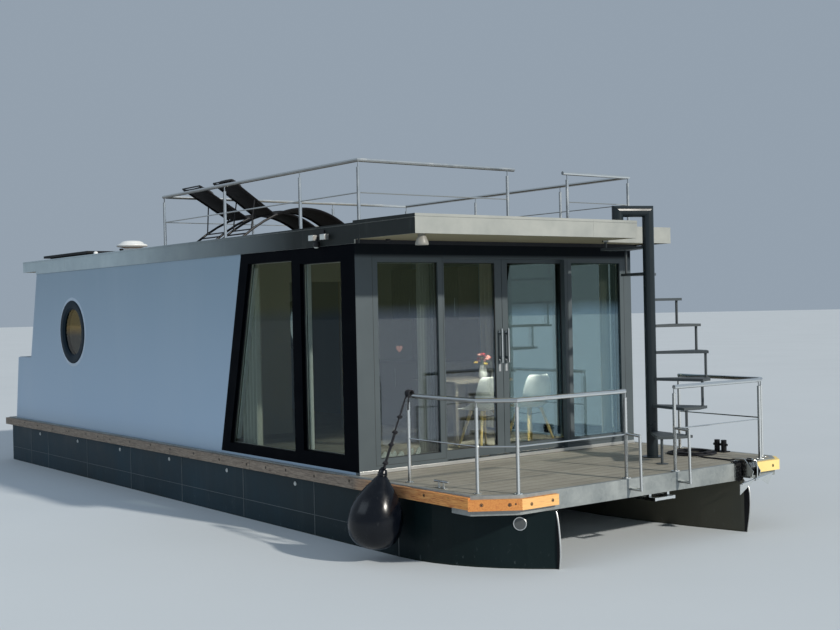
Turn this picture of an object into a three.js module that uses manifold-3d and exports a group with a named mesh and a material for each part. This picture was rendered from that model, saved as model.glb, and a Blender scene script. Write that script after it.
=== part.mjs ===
// A twin-pontoon houseboat, in millimetres.
// X runs forward from the cabin's front face, Y to port from the centreline, Z up from the deck.
// The whole group is then moved so that its origin is the bottom centre of its bounding box.

import * as THREE from "three";
import { mergeVertices } from "three/addons/utils/BufferGeometryUtils.js";
import Module from "manifold-3d";

const wasm = await Module();
wasm.setup();

// Driving dimensions

const TOUCH = 0.3; // gap between pieces that fit into one another
const WELD = 1; // how far fused shapes reach into one another
const PAST = 60; // how far a cutting shape reaches past the body that it cuts

const DECK = { stern: -10000, bow: 2000, half: 2000 };
// How much each bow corner is cut off, along the boat and across it
const CORNER = { starboard: { x: 243, y: 355 }, port: { x: 150, y: 150 } };
const FRAME = {
  top: -30, bottom: -110, beamBottom: -172, beamBack: 1500, lip: 45,
  cross: { first: -9000, step: 1555, width: 80, inset: 20 },
  recess: { back: 1880, y0: 1225, y1: 1455, top: -60 },
};
const PLANK = { top: 0, bottom: FRAME.top + TOUCH };

const PONTOON = {
  outer: 1985, inner: 955, top: -110, bottom: -1180, stern: -9900,
  curveStart: 700, curveTurn: 1450, stemX: 2065, stemY: 1285, stemLength: 30, stemWidth: 25,
  innerTurnX: 1150, innerTurnY: 1010, innerStart: 450,
  bowRakeX: 1300, sternRakeX: -9200, rakeZ: -820,
};
const THRUSTER = {
  x: 1050, y: -1470, z: -940, r: 95, hubR: 26, hubHalf: 45,
  blades: 4, bladeR: 84, bladeRoot: 20, bladeHalf: 26, bladeThick: 8, pitch: Math.PI / 5,
  gearR: 24, gearEnd: 150, legHalf: 20, legFrom: 70, legTo: 130,
};

const RUB = { depth: 45, bowStarboard: -1230, bowPort: 1417, side: [-114, -12], bow: [-125, -30] };

const CABIN = {
  starboard: -1950, port: 1900, wall: 80, top: 2263, front: 0,
  aftTop: -8745, aftStep: -9075, stepZ: 970, parapetEnd: -9645, end: -9800,
};
const INSIDE = [CABIN.starboard + CABIN.wall + TOUCH, CABIN.port - CABIN.wall - TOUCH];
const AFT_WALL = { x: -8700, thick: 80 };

const FRONT = { thick: 60, sill: 22, glassBottom: 139, glassTop: 2083, doorwayTop: 2122, glassBack: -42 };
const BAYS = {
  starboard: { y0: -1685, y1: -935 },
  doorway: { y0: -854, y1: 845 },
  port: { y0: 952, y1: 1718 },
};
const TRACKS = { back: -140, sillTop: 34, headBottom: 2142, jamb: 60 };
const LEAF = {
  back: -120, front: -68, bottom: 46, top: 2130,
  roller: { shares: [0.15, 0.85], half: 40, back: -105, front: -83 },
  pull: { back: -30, front: -14, half: 12, bottom: 1025, top: 1375, stands: [1060, 1315], stand: 25 },
};
const LEAVES = [
  // side, the leaf's edges, its glass and its handle, all across the boat
  { side: "starboard", y0: -955, y1: -20, glass0: -863, glass1: -115, handle: -66 },
  { side: "port", y0: -14, y1: 940, glass0: 62, glass1: 850, handle: 26 },
];
const GLASS = { thick: 24 };

const WINDOW = { // the slanted side window, seen from the side
  aftBottom: -2836, aftTop: -2280, bottom: 26, top: 2230, front: -FRONT.thick, deep: 50,
  panes: [
    { aftBottom: -2620, aftTop: -2115, fore: -1190, bottom: 130, top: 2150 },
    { aftBottom: -1020, aftTop: -1020, fore: -255, bottom: 170, top: 2103 },
  ],
  lap: 25,
};
const PORTHOLE = { x: -7330, z: 1377, cut: 420, flange: 455, flangeThick: 14, clear: 300, glassDepth: 28 };

const AFT_DOOR = {
  y0: -350, y1: 450, bottom: 30, top: 2030, gap: 6, back: -5, front: 45,
  pane: { inset: 130, bottom: 950, back: 8 },
  hinge: { out: 18, y: 450, r: 11, heights: [300, 1700], knuckle: 60, leaf: 7, strap: 40 },
  handle: { y: 70, length: 120, z: 900, out: 60, r: 10 },
};

const ROOF = {
  top: 2440, soffit: 2303, bow: 1010, bowPort: 529, stern: -9300,
  starboard: -1965, port: 2000, notchY: 940,
};
const FASCIA = { thick: 15, bottom: 2263, top: 2466, bowTop: 2486, lap: 20, drip: 16 };
const BOARDS = { top: 2462, aft: -4300, front: 0, starboard: -1845, port: 1880 };

const TERRACE = {
  front: 60, aft: -4240, aftPosts: [-680, 570],
  // the side rails: their line, their middle posts, and the gate's post and rail end
  starboard: { y: -1930, posts: [-1018, -2660], gatePost: -15, gateEnd: 77 },
  port: { y: 1820, posts: [-1062, -2688], gatePost: 858, gateEnd: 791 },
  top: 3092, mid: 2755, tube: 21, midTube: 8, post: 18, stub: 7, stubLength: 90,
};

const LOUNGER = {
  // each lounger lies across the boat, head to starboard; Y, and the height above the boards
  places: [{ name: "aft", x: -3900, head: [-1855, 677] }, { name: "fore", x: -3240, head: [-1780, 688] }],
  width: 500, tube: 14, bar: 9, rail: 12, railInset: 28,
  bow: { head: [-1680, 18], crown: [-745, 746], foot: [-30, 18], steps: 12 },
  bars: [0.05, 0.5, 0.95], // along the bow, as shares of its curve
  hip: [-1230, 313], hipBar: [-1230, 300], propShare: 0.45,
  prop: { bow: [-1532, 125], r: 8 },
  pad: { from: 480, to: 648, thick: 54, inset: 60 },
  sling: { thick: 6, rise: 4, from: 0.27, to: 0.9, steps: 7, headGap: 22 },
};

const VENT = { x: -6490, y: -1375, neck: 150, brim: 215, neckTop: 115, brimBottom: 130, brimTop: 165,
  shoulder: 205, top: 220 };
const SOLAR = { x0: -8700, x1: -6970, y0: -1850, y1: -1150, lift: 60, thick: 35, inset: 100, foot: 40,
  feet: [-1780, -1260] };

const STAIR = {
  x: 1056, y: 1055, r: 60, top: 2582, treads: 8, treadR: 596, nose: 18, rise: 278, thick: 28,
  firstAngle: -24, stepAngle: 28, overlap: 5, root: 40, strut: 14, strutInset: 30,
  headX: 930, headY: 735, footR: 110, footThick: 12, strutFootR: 62, strutFootThick: 6,
};

const RAIL = {
  top: 831, mid: 410, tube: 21, midTube: 7, post: 17, stub: 7, stubLength: 80,
  foot: 42, footThick: 8, sternTop: 951, sternMid: 480,
  handle: { r: 14, top: 418, knee: 405, reach: 175, drop: 183, bottom: -90 },
};
const BOW_RAILS = {
  starboard: [[716, -1870], [1705, -1870], [1957, -1624], [1957, -287]],
  port: [[1957, 385], [1957, 1670], [1870, 1815], [720, 1870]],
};
const STERN_RAILS = [
  { side: "starboard", y0: -640, y1: -1820 },
  { side: "port", y0: 640, y1: 1770 },
];
const STERN_RAIL_X = -9890;

const LADDER = { y0: 30, y1: 280, width: 30, back: 1330, front: 2015, rungs: [1400, 1650, 1985],
  hangers: [1520, 1900], hanger: 40, top: -40, bottom: -70 };
const CLEAT = { x: 1220, y: -1890, half: 100, r: 11, height: 62, legs: [-35, 35], base: 70, baseHalf: 22 };
const BOLLARD = { x: 1270, y: 1890, length: 180, width: 100, plate: 12, posts: [-45, 45], postR: 30,
  top: 130, barZ: 80, barR: 14 };

const ROLLER = { x: 2098, y: 1350, z: -22, r: 32, half: 46, pinR: 12, cheekInset: 52, cheek: 8,
  plateBack: 1880, plateFront: 2020, plateThick: 8,
  cheekBottom: -125, cheekTop: 44, cheekLine: [[2150, -125], [2165, -70], [2060, 44]] };
const ANCHOR = {
  shankThick: 14, shankBottom: ROLLER.z + ROLLER.r + TOUCH, shankBack: 1900,
  rodX: 2158, rodZ: -147, rodR: 9, rodHalf: 230, crownR: 16, shankHalf: 12,
  // the shank's bend over the roller: X, and the height above the straight stretch's underside
  bendUnder: [[2124, 0], [2136, -20]], bendOver: [[2172, -30], [2160, 18], [2128, 28]], shankDeep: 24,
  // the flukes' corners from the middle of the rod, and how far the whole crown has turned
  fluke: { from: 30, to: 262, tipX: -48, tipY: 222, tipZ: -118, thick: 8 }, twist: 0.14,
};
const ANCHOR_ROPE = {
  r: 8, lift: 8.3, route: [
    [1899, 1350, 22], [1880, 1350, 21], [1862, 1350, 17], [1846, 1351, 11.5], [1828, 1352, 8.5],
    [1800, 1354, 8.3], [1750, 1358, 8.3], [1690, 1361, 8.3], [1620, 1361, 8.3], [1550, 1359, 8.3],
    [1480, 1357, 8.3], [1410, 1357, 8.3], [1352, 1359, 8.3], [1330, 1360, 8.3],
  ],
  coil: { x: 1150, y: 1570, inner: 150, outer: 270, top: 52 },
};

const FENDER = {
  eye: [780, -2215, 165], tip: [690, -2305, -560], r: 258, neck: 40, ropeR: 8, ropeX: 730, ropeOut: 40,
  // radius and height above the lower end, as shares of the radius and the length
  profile: [[0, 0], [0.4, 0.02], [0.72, 0.08], [0.93, 0.2], [1, 0.33], [0.95, 0.47],
    [0.78, 0.62], [0.5, 0.77], [0.28, 0.87], [0.16, 0.93], [0.14, 1], [0, 1]],
};
const SPOT = { plateX0: -660, plateX1: -560, plateZ0: 2330, plateZ1: 2430, thick: 14,
  heads: [-650, -570], headR: 38, headZ: 2360, droop: 15, reach: 110 };

const PARTITION = { back: -4200, front: -4150, doorY0: -200, doorY1: 600, doorTop: 2000 };
const KITCHEN = { front: -2660, counterDeep: 620, counterTop: 900, shelfDeep: 350, shelfBottom: 1450,
  shelfTop: 2150, splash: 15 };
const TABLE = { x0: -2100, x1: -1250, y0: 250, y1: 1150, top: 750, thick: 28, leg: 45, inset: 48 };
const CHAIRS = [{ name: "chair_fore", x: -950, y: 420 }, { name: "chair_mid", x: -850, y: 1050 }];
const CHAIR = { half: 220, shell: 22, seat: 424, back: 820, arm: 640, armFrom: -80, legR: 13,
  legIn: 90, legOut: 207, legTop: 430, legBottom: 5 };

const OUTBOARD = {
  tiltX: -10170, tiltZ: 30, steerX: -10205, swivelTop: 66, swivelBottom: -240,
  tiltR: 26, steerR: 32, earInner: 90, earThick: 20, earBack: 30, earTop: 30, earBottom: -60,
  bracket: { back: -10110, half: 120, bottom: -330, top: 10 },
  arm: { front: -9850, back: -10046, deckBack: -9990, at: [-110, 80], width: 30, deep: 90, tab: 11 },
  cowl: { front: -10182, back: -10560, half: 150 },
  legHalf: 32, holderHalf: 30, holderBack: -10260, holderTop: 90, holderBottom: -270,
  plate: { back: -10560, front: -10200, half: 95, bottom: -640, top: -628 },
  propX: -10440, propZ: -830, hubR: 48, hubLength: 110, propR: 165, propRoot: 30, blades: 3,
  bladeHalf: 55, bladeThick: 10, pitch: 0.6,
  // the leg seen from the side, from the cowl down to the skeg and back, X and Z
  legLine: [[-10246, 151], [-10246, -760], [-10200, -800], [-10200, -850], [-10250, -880],
    [-10280, -1080], [-10330, -1100], [-10390, -880], [-10440, -862], [-10440, -798],
    [-10400, -740], [-10420, -620], [-10400, 151]],
  // the cowl's corners: how far each stands in from its front or back, and its Z
  cowlFront: [[0, 150], [0, 410], [60, 590], [160, 620]], cowlBack: [[90, 560], [0, 350], [30, 150]],
};

// Materials

const look = (color, roughness, metalness = 0) =>
  new THREE.MeshStandardMaterial({ color, roughness, metalness });

const FINISH = {
  hull: look(0x34393b, 0.5, 0.3),
  galvanised: look(0x9a9d9b, 0.5, 0.7),
  planks: look(0x8a8076, 0.8),
  timber: look(0xb27a45, 0.75),
  panel: look(0xaeb2bb, 0.5, 0.1),
  anthracite: look(0x34383f, 0.5),
  navy: look(0x171b24, 0.45),
  glass: look(0x8fa3a8, 0.05),
  stainless: look(0xc3c6c8, 0.25, 0.9),
  black: look(0x16181a, 0.6),
  sling: look(0x141517, 0.9),
  white: look(0xe8e8e6, 0.4),
  soffit: look(0xb9a88c, 0.7),
  cells: look(0x0d1118, 0.3),
  furniture: look(0xd9d3c6, 0.6),
};

// Geometry helpers

function solidOf(geometry) {
  const bare = geometry.clone();
  bare.deleteAttribute("normal");
  bare.deleteAttribute("uv");
  const merged = mergeVertices(bare, 1e-3);
  return new wasm.Manifold(new wasm.Mesh({
    numProp: 3,
    vertProperties: merged.attributes.position.array,
    triVerts: new Uint32Array(merged.index.array),
  }));
}

function geometryOf(solid) {
  const mesh = solid.getMesh();
  const geometry = new THREE.BufferGeometry();
  geometry.setAttribute("position", new THREE.BufferAttribute(mesh.vertProperties, 3));
  geometry.setIndex(new THREE.BufferAttribute(mesh.triVerts, 1));
  geometry.computeVertexNormals();
  return geometry;
}

function join(geometries) {
  return geometryOf(geometries.map(solidOf).reduce((whole, next) => whole.add(next)));
}

function cut(body, tools) {
  return geometryOf(tools.map(solidOf).reduce((left, tool) => left.subtract(tool), solidOf(body)));
}

function box([x0, x1], [y0, y1], [z0, z1]) {
  return new THREE.BoxGeometry(x1 - x0, y1 - y0, z1 - z0)
    .translate((x0 + x1) / 2, (y0 + y1) / 2, (z0 + z1) / 2);
}

function shapeOf(points) {
  return new THREE.Shape(points.map(([u, v]) => new THREE.Vector2(u, v)));
}

// An outline extruded over a span of the third axis, and then turned by a matrix. Its holes are
// cut right through.
function extruded(points, [from, to], holes, turn) {
  const solid = (outline, a, b) =>
    new THREE.ExtrudeGeometry(shapeOf(outline), { depth: b - a, bevelEnabled: false })
      .translate(0, 0, a)
      .applyMatrix4(turn);
  const body = solid(points, from, to);
  return holes.length ? cut(body, holes.map((hole) => solid(hole, from - PAST, to + PAST))) : body;
}

const AS_PLAN = new THREE.Matrix4();
const AS_SIDE = new THREE.Matrix4().set(1, 0, 0, 0, 0, 0, -1, 0, 0, 1, 0, 0, 0, 0, 0, 1);
const AS_FRONT = new THREE.Matrix4().set(0, 0, 1, 0, 1, 0, 0, 0, 0, 1, 0, 0, 0, 0, 0, 1);

// A plan outline in X and Y, raised over a span of Z.
function planSlab(points, zSpan, holes = []) {
  return extruded(points, zSpan, holes, AS_PLAN);
}

// A side outline in X and Z, over a span of Y.
function sideSlab(points, [y0, y1], holes = []) {
  return extruded(points, [-y1, -y0], holes, AS_SIDE);
}

// A front outline in Y and Z, over a span of X.
function frontSlab(points, xSpan, holes = []) {
  return extruded(points, xSpan, holes, AS_FRONT);
}

function rectangle([u0, u1], [v0, v1]) {
  return [[u0, v0], [u1, v0], [u1, v1], [u0, v1]];
}

// A round bar between two points.
function rod(from, to, r, sides = 10) {
  return pipe([from, to], r, sides);
}

// A round tube through a list of points, with a mitre at each bend.
function pipe(points, r, sides = 10) {
  const at = points.map((p) => new THREE.Vector3(...p));
  const legs = at.slice(1).map((p, i) => p.clone().sub(at[i]).normalize());
  const across = new THREE.Vector3(0, 0, 1).cross(legs[0]);
  if (across.lengthSq() < 1e-6) across.set(0, 1, 0);
  across.normalize();
  const up = legs[0].clone().cross(across);
  const rings = [Array.from({ length: sides }, (_, k) => {
    const turn = (2 * Math.PI * k) / sides;
    return at[0].clone()
      .addScaledVector(across, r * Math.cos(turn))
      .addScaledVector(up, r * Math.sin(turn));
  })];
  legs.forEach((leg, i) => {
    const mitre = leg.clone().add(legs[i + 1] ?? leg).normalize();
    rings.push(rings[i].map((p) => {
      const reach = at[i + 1].clone().sub(p).dot(mitre) / leg.dot(mitre);
      return p.clone().addScaledVector(leg, reach);
    }));
  });
  const faces = legs.flatMap((_, i) => rings[i].flatMap((_, k) => {
    const a = i * sides + k;
    const b = i * sides + ((k + 1) % sides);
    return [a, b, b + sides, a, b + sides, a + sides];
  }));
  const last = legs.length * sides;
  for (let k = 1; k < sides - 1; k += 1) {
    faces.push(0, k + 1, k);
    faces.push(last, last + k, last + k + 1);
  }
  const geometry = new THREE.BufferGeometry().setFromPoints(rings.flat());
  geometry.setIndex(faces);
  return geometry;
}

// A turned profile about the Z axis.
function turned(profile, sides = 32) {
  return new THREE.LatheGeometry(profile.map(([r, z]) => new THREE.Vector2(r, z)), sides)
    .rotateX(Math.PI / 2);
}

// A flat three-cornered plate of some thickness.
function triangle(a, b, c, thick) {
  const [p, q, r] = [a, b, c].map((v) => new THREE.Vector3(...v));
  const half = q.clone().sub(p).cross(r.clone().sub(p)).setLength(thick / 2);
  const faces = [half, half.clone().negate()].flatMap((way) => [p, q, r].map((v) => v.clone().add(way)));
  const geometry = new THREE.BufferGeometry().setFromPoints(faces);
  geometry.setIndex([0, 1, 2, 3, 5, 4, 0, 3, 4, 0, 4, 1, 1, 4, 5, 1, 5, 2, 2, 5, 3, 2, 3, 0]);
  return geometry;
}

function piece(name, finish, geometry) {
  const mesh = new THREE.Mesh(geometry, finish);
  mesh.name = name;
  return mesh;
}

function group(members, position = [0, 0, 0]) {
  const made = new THREE.Group();
  made.add(...members);
  made.position.set(...position);
  return made;
}

// Hull and deck

function pontoonOutline(side) {
  const p = PONTOON;
  const bend = (from, turn, to, steps) => new THREE.QuadraticBezierCurve(
    new THREE.Vector2(...from), new THREE.Vector2(...turn), new THREE.Vector2(...to)).getPoints(steps);
  const outside = bend([p.curveStart, p.outer], [p.curveTurn, p.outer], [p.stemX, p.stemY], 7);
  const inside = bend([p.stemX - p.stemLength, p.stemY - p.stemWidth], [p.innerTurnX, p.innerTurnY],
    [p.innerStart, p.inner], 4);
  const points = [[p.stern, p.inner], [p.stern, p.outer],
    ...outside.map(({ x, y }) => [x, y]), ...inside.map(({ x, y }) => [x, y])];
  return points.map(([x, y]) => [x, side * y]);
}

function pontoonBody(side) {
  const { outer, inner, top, bottom, stern, stemX, bowRakeX, sternRakeX, rakeZ } = PONTOON;
  const y = side > 0 ? [inner - PAST, outer + PAST] : [-outer - PAST, -inner + PAST];
  const underBow = sideSlab(
    [[bowRakeX, bottom - WELD], [stemX + PAST, bottom - WELD], [stemX + PAST, rakeZ]], y);
  const underStern = sideSlab(
    [[sternRakeX, bottom - WELD], [stern - PAST, rakeZ], [stern - PAST, bottom - WELD]], y);
  const beamSeat = box([FRAME.beamBack - TOUCH, stemX + PAST], y, [FRAME.beamBottom - TOUCH, top + PAST]);
  return { body: planSlab(pontoonOutline(side), [bottom, top]), tools: [underBow, underStern, beamSeat] };
}

function pontoonStarboard() {
  const { body, tools } = pontoonBody(-1);
  const { x, y, z, r, hubHalf, gearR, gearEnd, legHalf, legFrom, legTo } = THRUSTER;
  const tunnel = rod([x, -PONTOON.outer - PAST, z], [x, -PONTOON.inner + PAST, z], r, 28);
  const hull = cut(body, [...tools, tunnel]);
  // The propeller's gear leg stands in the tunnel, from its roof down to the shaft.
  const gear = rod([x, y + hubHalf + TOUCH, z], [x, y + gearEnd, z], gearR, 16);
  const leg = box([x - legHalf, x + legHalf], [y + legFrom, y + legTo], [z, z + r + WELD * 10]);
  return piece("pontoon_starboard", FINISH.hull, join([hull, gear, leg]));
}

function pontoonPort() {
  const { body, tools } = pontoonBody(1);
  return piece("pontoon_port", FINISH.hull, cut(body, tools));
}

// The two points of a cut bow corner, on the side and on the front, where the outline is drawn in
// by an inset, or let out by a negative one.
function cornerPoints(side, inset) {
  const { x, y } = CORNER[side];
  const sign = side === "starboard" ? -1 : 1;
  const slant = Math.atan2(y, x);
  return [
    [DECK.bow - x - inset * Math.tan(slant / 2), sign * (DECK.half - inset)],
    [DECK.bow - inset, sign * (DECK.half - y - inset * Math.tan((Math.PI / 2 - slant) / 2))],
  ];
}

function deckOutline(inset) {
  const { stern, half } = DECK;
  const [sideStarboard, frontStarboard] = cornerPoints("starboard", inset);
  const [sidePort, frontPort] = cornerPoints("port", inset);
  return [
    [stern + inset, -half + inset], sideStarboard, frontStarboard, frontPort, sidePort,
    [stern + inset, half - inset],
  ];
}

function deckFrame() {
  const { top, bottom, beamBottom, beamBack, lip, cross, recess } = FRAME;
  const plate = planSlab(deckOutline(0), [bottom, top]);
  const edge = planSlab(deckOutline(0), [top - WELD, PLANK.top], [deckOutline(lip)]);
  const bowBeam = planSlab(
    deckOutline(0).map(([x, y]) => [Math.max(x, beamBack), y]), [beamBottom, top - WELD]);
  const reach = PONTOON.inner - cross.inset;
  const crossBeams = [];
  for (let x = cross.first; x < beamBack; x += cross.step) {
    crossBeams.push(box([x, x + cross.width], [-reach, reach], [beamBottom, bottom + WELD]));
  }
  const hawse = box([recess.back, DECK.bow + PAST], [recess.y0, recess.y1],
    [beamBottom - PAST, recess.top]);
  return piece("deck_frame", FINISH.galvanised,
    cut(join([plate, edge, bowBeam, ...crossBeams]), [hawse]));
}

function deckPlanking() {
  return piece("deck_planking", FINISH.planks,
    planSlab(deckOutline(FRAME.lip + TOUCH), [PLANK.bottom, PLANK.top]));
}

// The wooden rail around the hull: a bent band outside the deck's edge, open across the bow. The
// planks at the starboard bow corner lie lower than the rest.
function rubRail() {
  const { stern, bow, half } = DECK;
  const edge = (out) => {
    const [sideStarboard, frontStarboard] = cornerPoints("starboard", -out);
    const [sidePort, frontPort] = cornerPoints("port", -out);
    const lapped = [sideStarboard[0] - WELD, sideStarboard[1]];
    return {
      low: [[bow + out, RUB.bowStarboard], frontStarboard, sideStarboard, lapped],
      high: [sideStarboard, [stern - out, -half - out], [stern - out, half + out], sidePort,
        frontPort, [bow + out, RUB.bowPort]],
    };
  };
  const [near, far] = [edge(TOUCH), edge(RUB.depth)];
  const plank = (part, zSpan) => planSlab([...far[part], ...near[part].reverse()], zSpan);
  return piece("rub_rail", FINISH.timber, join([plank("low", RUB.bow), plank("high", RUB.side)]));
}

function thruster() {
  const t = THRUSTER;
  const hub = rod([0, -t.hubHalf, 0], [0, t.hubHalf, 0], t.hubR, 16);
  const blades = Array.from({ length: t.blades }, (_, k) =>
    box([t.bladeRoot, t.bladeR], [-t.bladeThick / 2, t.bladeThick / 2], [-t.bladeHalf, t.bladeHalf])
      .rotateX(t.pitch)
      .rotateY((k * 2 * Math.PI) / t.blades));
  return group([piece("bow_thruster_propeller", FINISH.black, join([hub, ...blades]))], [t.x, t.y, t.z]);
}

// Cabin

function sideWall(name, y) {
  const c = CABIN;
  const w = WINDOW;
  const front = c.front - FRONT.thick - TOUCH;
  const outline = [
    [c.end, 0], [front, 0], [front, w.bottom], [w.aftBottom, w.bottom], [w.aftTop, w.top],
    [front, w.top], [front, c.top], [c.aftTop, c.top], [c.aftStep, c.stepZ], [c.parapetEnd, c.stepZ],
  ];
  const p = PORTHOLE;
  const hole = rod([p.x, y[0] - PAST, p.z], [p.x, y[1] + PAST, p.z], p.cut, 40);
  return piece(name, FINISH.panel, cut(sideSlab(outline, y), [hole]));
}

function paneOutline(pane, grow = 0) {
  const { aftBottom, aftTop, fore, bottom, top } = pane;
  const slope = (aftTop - aftBottom) / (top - bottom);
  return [
    [aftBottom - grow - slope * grow, bottom - grow], [fore + grow, bottom - grow],
    [fore + grow, top + grow], [aftTop - grow + slope * grow, top + grow],
  ];
}

// The window's frame stands flush with the wall's outside face, and the glass lies behind it.
function sideWindow(side, outerY, inward) {
  const w = WINDOW;
  const y = [outerY, outerY + inward * w.deep].sort((a, b) => a - b);
  const t = TOUCH;
  const slope = (w.aftTop - w.aftBottom) / (w.top - w.bottom);
  const outer = [
    [w.aftBottom + t + slope * t, w.bottom + t], [w.front - t, w.bottom + t],
    [w.front - t, w.top - t], [w.aftTop + t - slope * t, w.top - t],
  ];
  const frame = piece("side_window_frame_" + side, FINISH.navy,
    sideSlab(outer, y, w.panes.map((pane) => paneOutline(pane))));
  // One sheet of glass lies against the frame's inner face, behind both openings.
  const [aft, fore] = w.panes;
  const sheet = paneOutline({ ...aft, fore: fore.fore }, w.lap);
  const glassY = inward > 0 ? y[1] + t : y[0] - t - GLASS.thick;
  const glass = piece("side_glass_" + side, FINISH.glass,
    sideSlab(sheet, [glassY, glassY + GLASS.thick]));
  return [frame, glass];
}

// A porthole's ring with its pane, from the wall's outside face inwards.
function porthole(side, outerY, inward) {
  const p = PORTHOLE;
  const sleeve = p.cut - TOUCH - 1.5;
  const ring = turned([[p.clear, -p.flangeThick], [p.flange, -p.flangeThick], [p.flange, -TOUCH],
    [sleeve, -TOUCH], [sleeve, CABIN.wall], [p.clear, CABIN.wall], [p.clear, -p.flangeThick]], 40);
  const pane = rod([0, 0, p.glassDepth], [0, 0, p.glassDepth + GLASS.thick], p.clear + 5, 40);
  const turn = new THREE.Matrix4().makeRotationX(inward > 0 ? -Math.PI / 2 : Math.PI / 2);
  return piece("porthole_" + side, FINISH.navy,
    join([ring, pane]).applyMatrix4(turn).translate(p.x, outerY, p.z));
}

function frontFrame() {
  const { thick, sill, glassBottom, glassTop, doorwayTop } = FRONT;
  return piece("front_frame", FINISH.anthracite, frontSlab(
    rectangle([CABIN.starboard, CABIN.port], [0, CABIN.top]), [-thick, 0], [
      rectangle([BAYS.starboard.y0, BAYS.starboard.y1], [glassBottom, glassTop]),
      rectangle([BAYS.doorway.y0, BAYS.doorway.y1], [sill, doorwayTop]),
      rectangle([BAYS.port.y0, BAYS.port.y1], [glassBottom, glassTop]),
    ]));
}

// The ring of tracks and jambs behind the front frame, in which the two leaves slide.
function doorTracks() {
  const [y0, y1] = INSIDE;
  return piece("door_track_frame", FINISH.anthracite, frontSlab(
    rectangle(INSIDE, [0, CABIN.top]), [TRACKS.back, -FRONT.thick - TOUCH],
    [rectangle([y0 + TRACKS.jamb, y1 - TRACKS.jamb], [TRACKS.sillTop, TRACKS.headBottom])]));
}

function frontPanes() {
  return ["starboard", "port"].map((side) => {
    const bay = BAYS[side];
    return piece("front_pane_" + side, FINISH.glass, box(
      [FRONT.glassBack, FRONT.glassBack + GLASS.thick], [bay.y0 + TOUCH, bay.y1 - TOUCH],
      [FRONT.glassBottom + TOUCH, FRONT.glassTop - TOUCH]));
  });
}

function doorLeaf(leaf) {
  const { back, front, bottom, top, roller, pull } = LEAF;
  const frame = frontSlab(rectangle([leaf.y0, leaf.y1], [bottom, top]), [back, front],
    [rectangle([leaf.glass0, leaf.glass1], [FRONT.glassBottom, FRONT.glassTop])]);
  const rollers = roller.shares.map((share) => {
    const y = leaf.y0 + share * (leaf.y1 - leaf.y0);
    return box([roller.back, roller.front], [y - roller.half, y + roller.half],
      [TRACKS.sillTop + TOUCH, bottom + WELD]);
  });
  const across = [leaf.handle - pull.half, leaf.handle + pull.half];
  const handle = [
    box([pull.back, pull.front], across, [pull.bottom, pull.top]),
    ...pull.stands.map((z) => box([front - WELD, pull.back + WELD], across, [z, z + pull.stand])),
  ];
  const middle = (back + front) / 2;
  return [
    piece("door_leaf_" + leaf.side, FINISH.anthracite, join([frame, ...rollers, ...handle])),
    piece("door_glass_" + leaf.side, FINISH.glass, box(
      [middle - GLASS.thick / 2, middle + GLASS.thick / 2],
      [leaf.glass0 + TOUCH, leaf.glass1 - TOUCH],
      [FRONT.glassBottom + TOUCH, FRONT.glassTop - TOUCH])),
  ];
}

function aftWall() {
  const { x, thick } = AFT_WALL;
  const d = AFT_DOOR;
  const h = d.hinge;
  const wall = frontSlab(rectangle(INSIDE, [0, CABIN.top]), [x - thick, x],
    [rectangle([d.y0, d.y1], [d.bottom, d.top])]);
  const axis = x - thick - h.out;
  const knuckles = h.heights.flatMap((z) => [
    rod([axis, h.y, z - h.knuckle], [axis, h.y, z - TOUCH], h.r, 12),
    box([axis, x - thick + WELD], [h.y + 2, h.y + 2 + h.leaf], [z - h.knuckle, z - TOUCH]),
  ]);
  return piece("aft_wall", FINISH.panel, join([wall, ...knuckles]));
}

// The aft door's leaf with its pane, handle and hinge knuckles.
function aftDoor() {
  const d = AFT_DOOR;
  const h = d.hinge;
  const outside = AFT_WALL.x - AFT_WALL.thick;
  const axis = outside - h.out;
  const knuckles = h.heights.flatMap((z) => [
    rod([axis, h.y, z], [axis, h.y, z + h.knuckle], h.r, 12),
    box([axis, outside - 4], [h.y - 2 - h.leaf, h.y - 2], [z, z + h.knuckle]),
    box([outside - 12, outside - 4], [h.y - h.strap, h.y - 2], [z, z + h.knuckle]),
  ]);
  const light = [[d.y0 + d.pane.inset, d.y1 - d.pane.inset], [d.pane.bottom, d.top - d.pane.inset]];
  const leaf = frontSlab(rectangle([d.y0 + d.gap, d.y1 - d.gap], [d.bottom + d.gap, d.top - d.gap]),
    [outside + d.back, outside + d.front], [rectangle(...light)]);
  const pane = box([outside + d.pane.back, outside + d.pane.back + GLASS.thick],
    ...light.map(([from, to]) => [from - WELD, to + WELD]));
  const { y, length, z, out, r } = d.handle;
  const handle = [
    rod([outside - out, d.y0 + y, z], [outside - out, d.y0 + y + length, z], r, 8),
    rod([outside - out - 2, d.y0 + y + r, z], [outside + d.back + WELD, d.y0 + y + r, z], r, 8),
  ];
  return piece("aft_door", FINISH.anthracite, join([leaf, pane, ...handle, ...knuckles]));
}

// Roof

function roofSlab() {
  const { top, soffit, bow, bowPort, stern, starboard, port, notchY } = ROOF;
  const e = FASCIA.thick + TOUCH;
  const lap = WELD * 10;
  const main = box([CABIN.aftTop, 0], [starboard + e, port - e], [CABIN.top, top]);
  const brow = planSlab([
    [-lap, starboard + e], [bow - e, starboard + e], [bow - e, notchY - e],
    [bowPort - e, notchY - e], [bowPort - e, port - e], [-lap, port - e],
  ], [soffit, top]);
  const tail = box([stern + e, CABIN.aftTop + lap], [starboard + e, port - e], [soffit, top]);
  return piece("roof", FINISH.soffit, join([main, brow, tail]));
}

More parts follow.
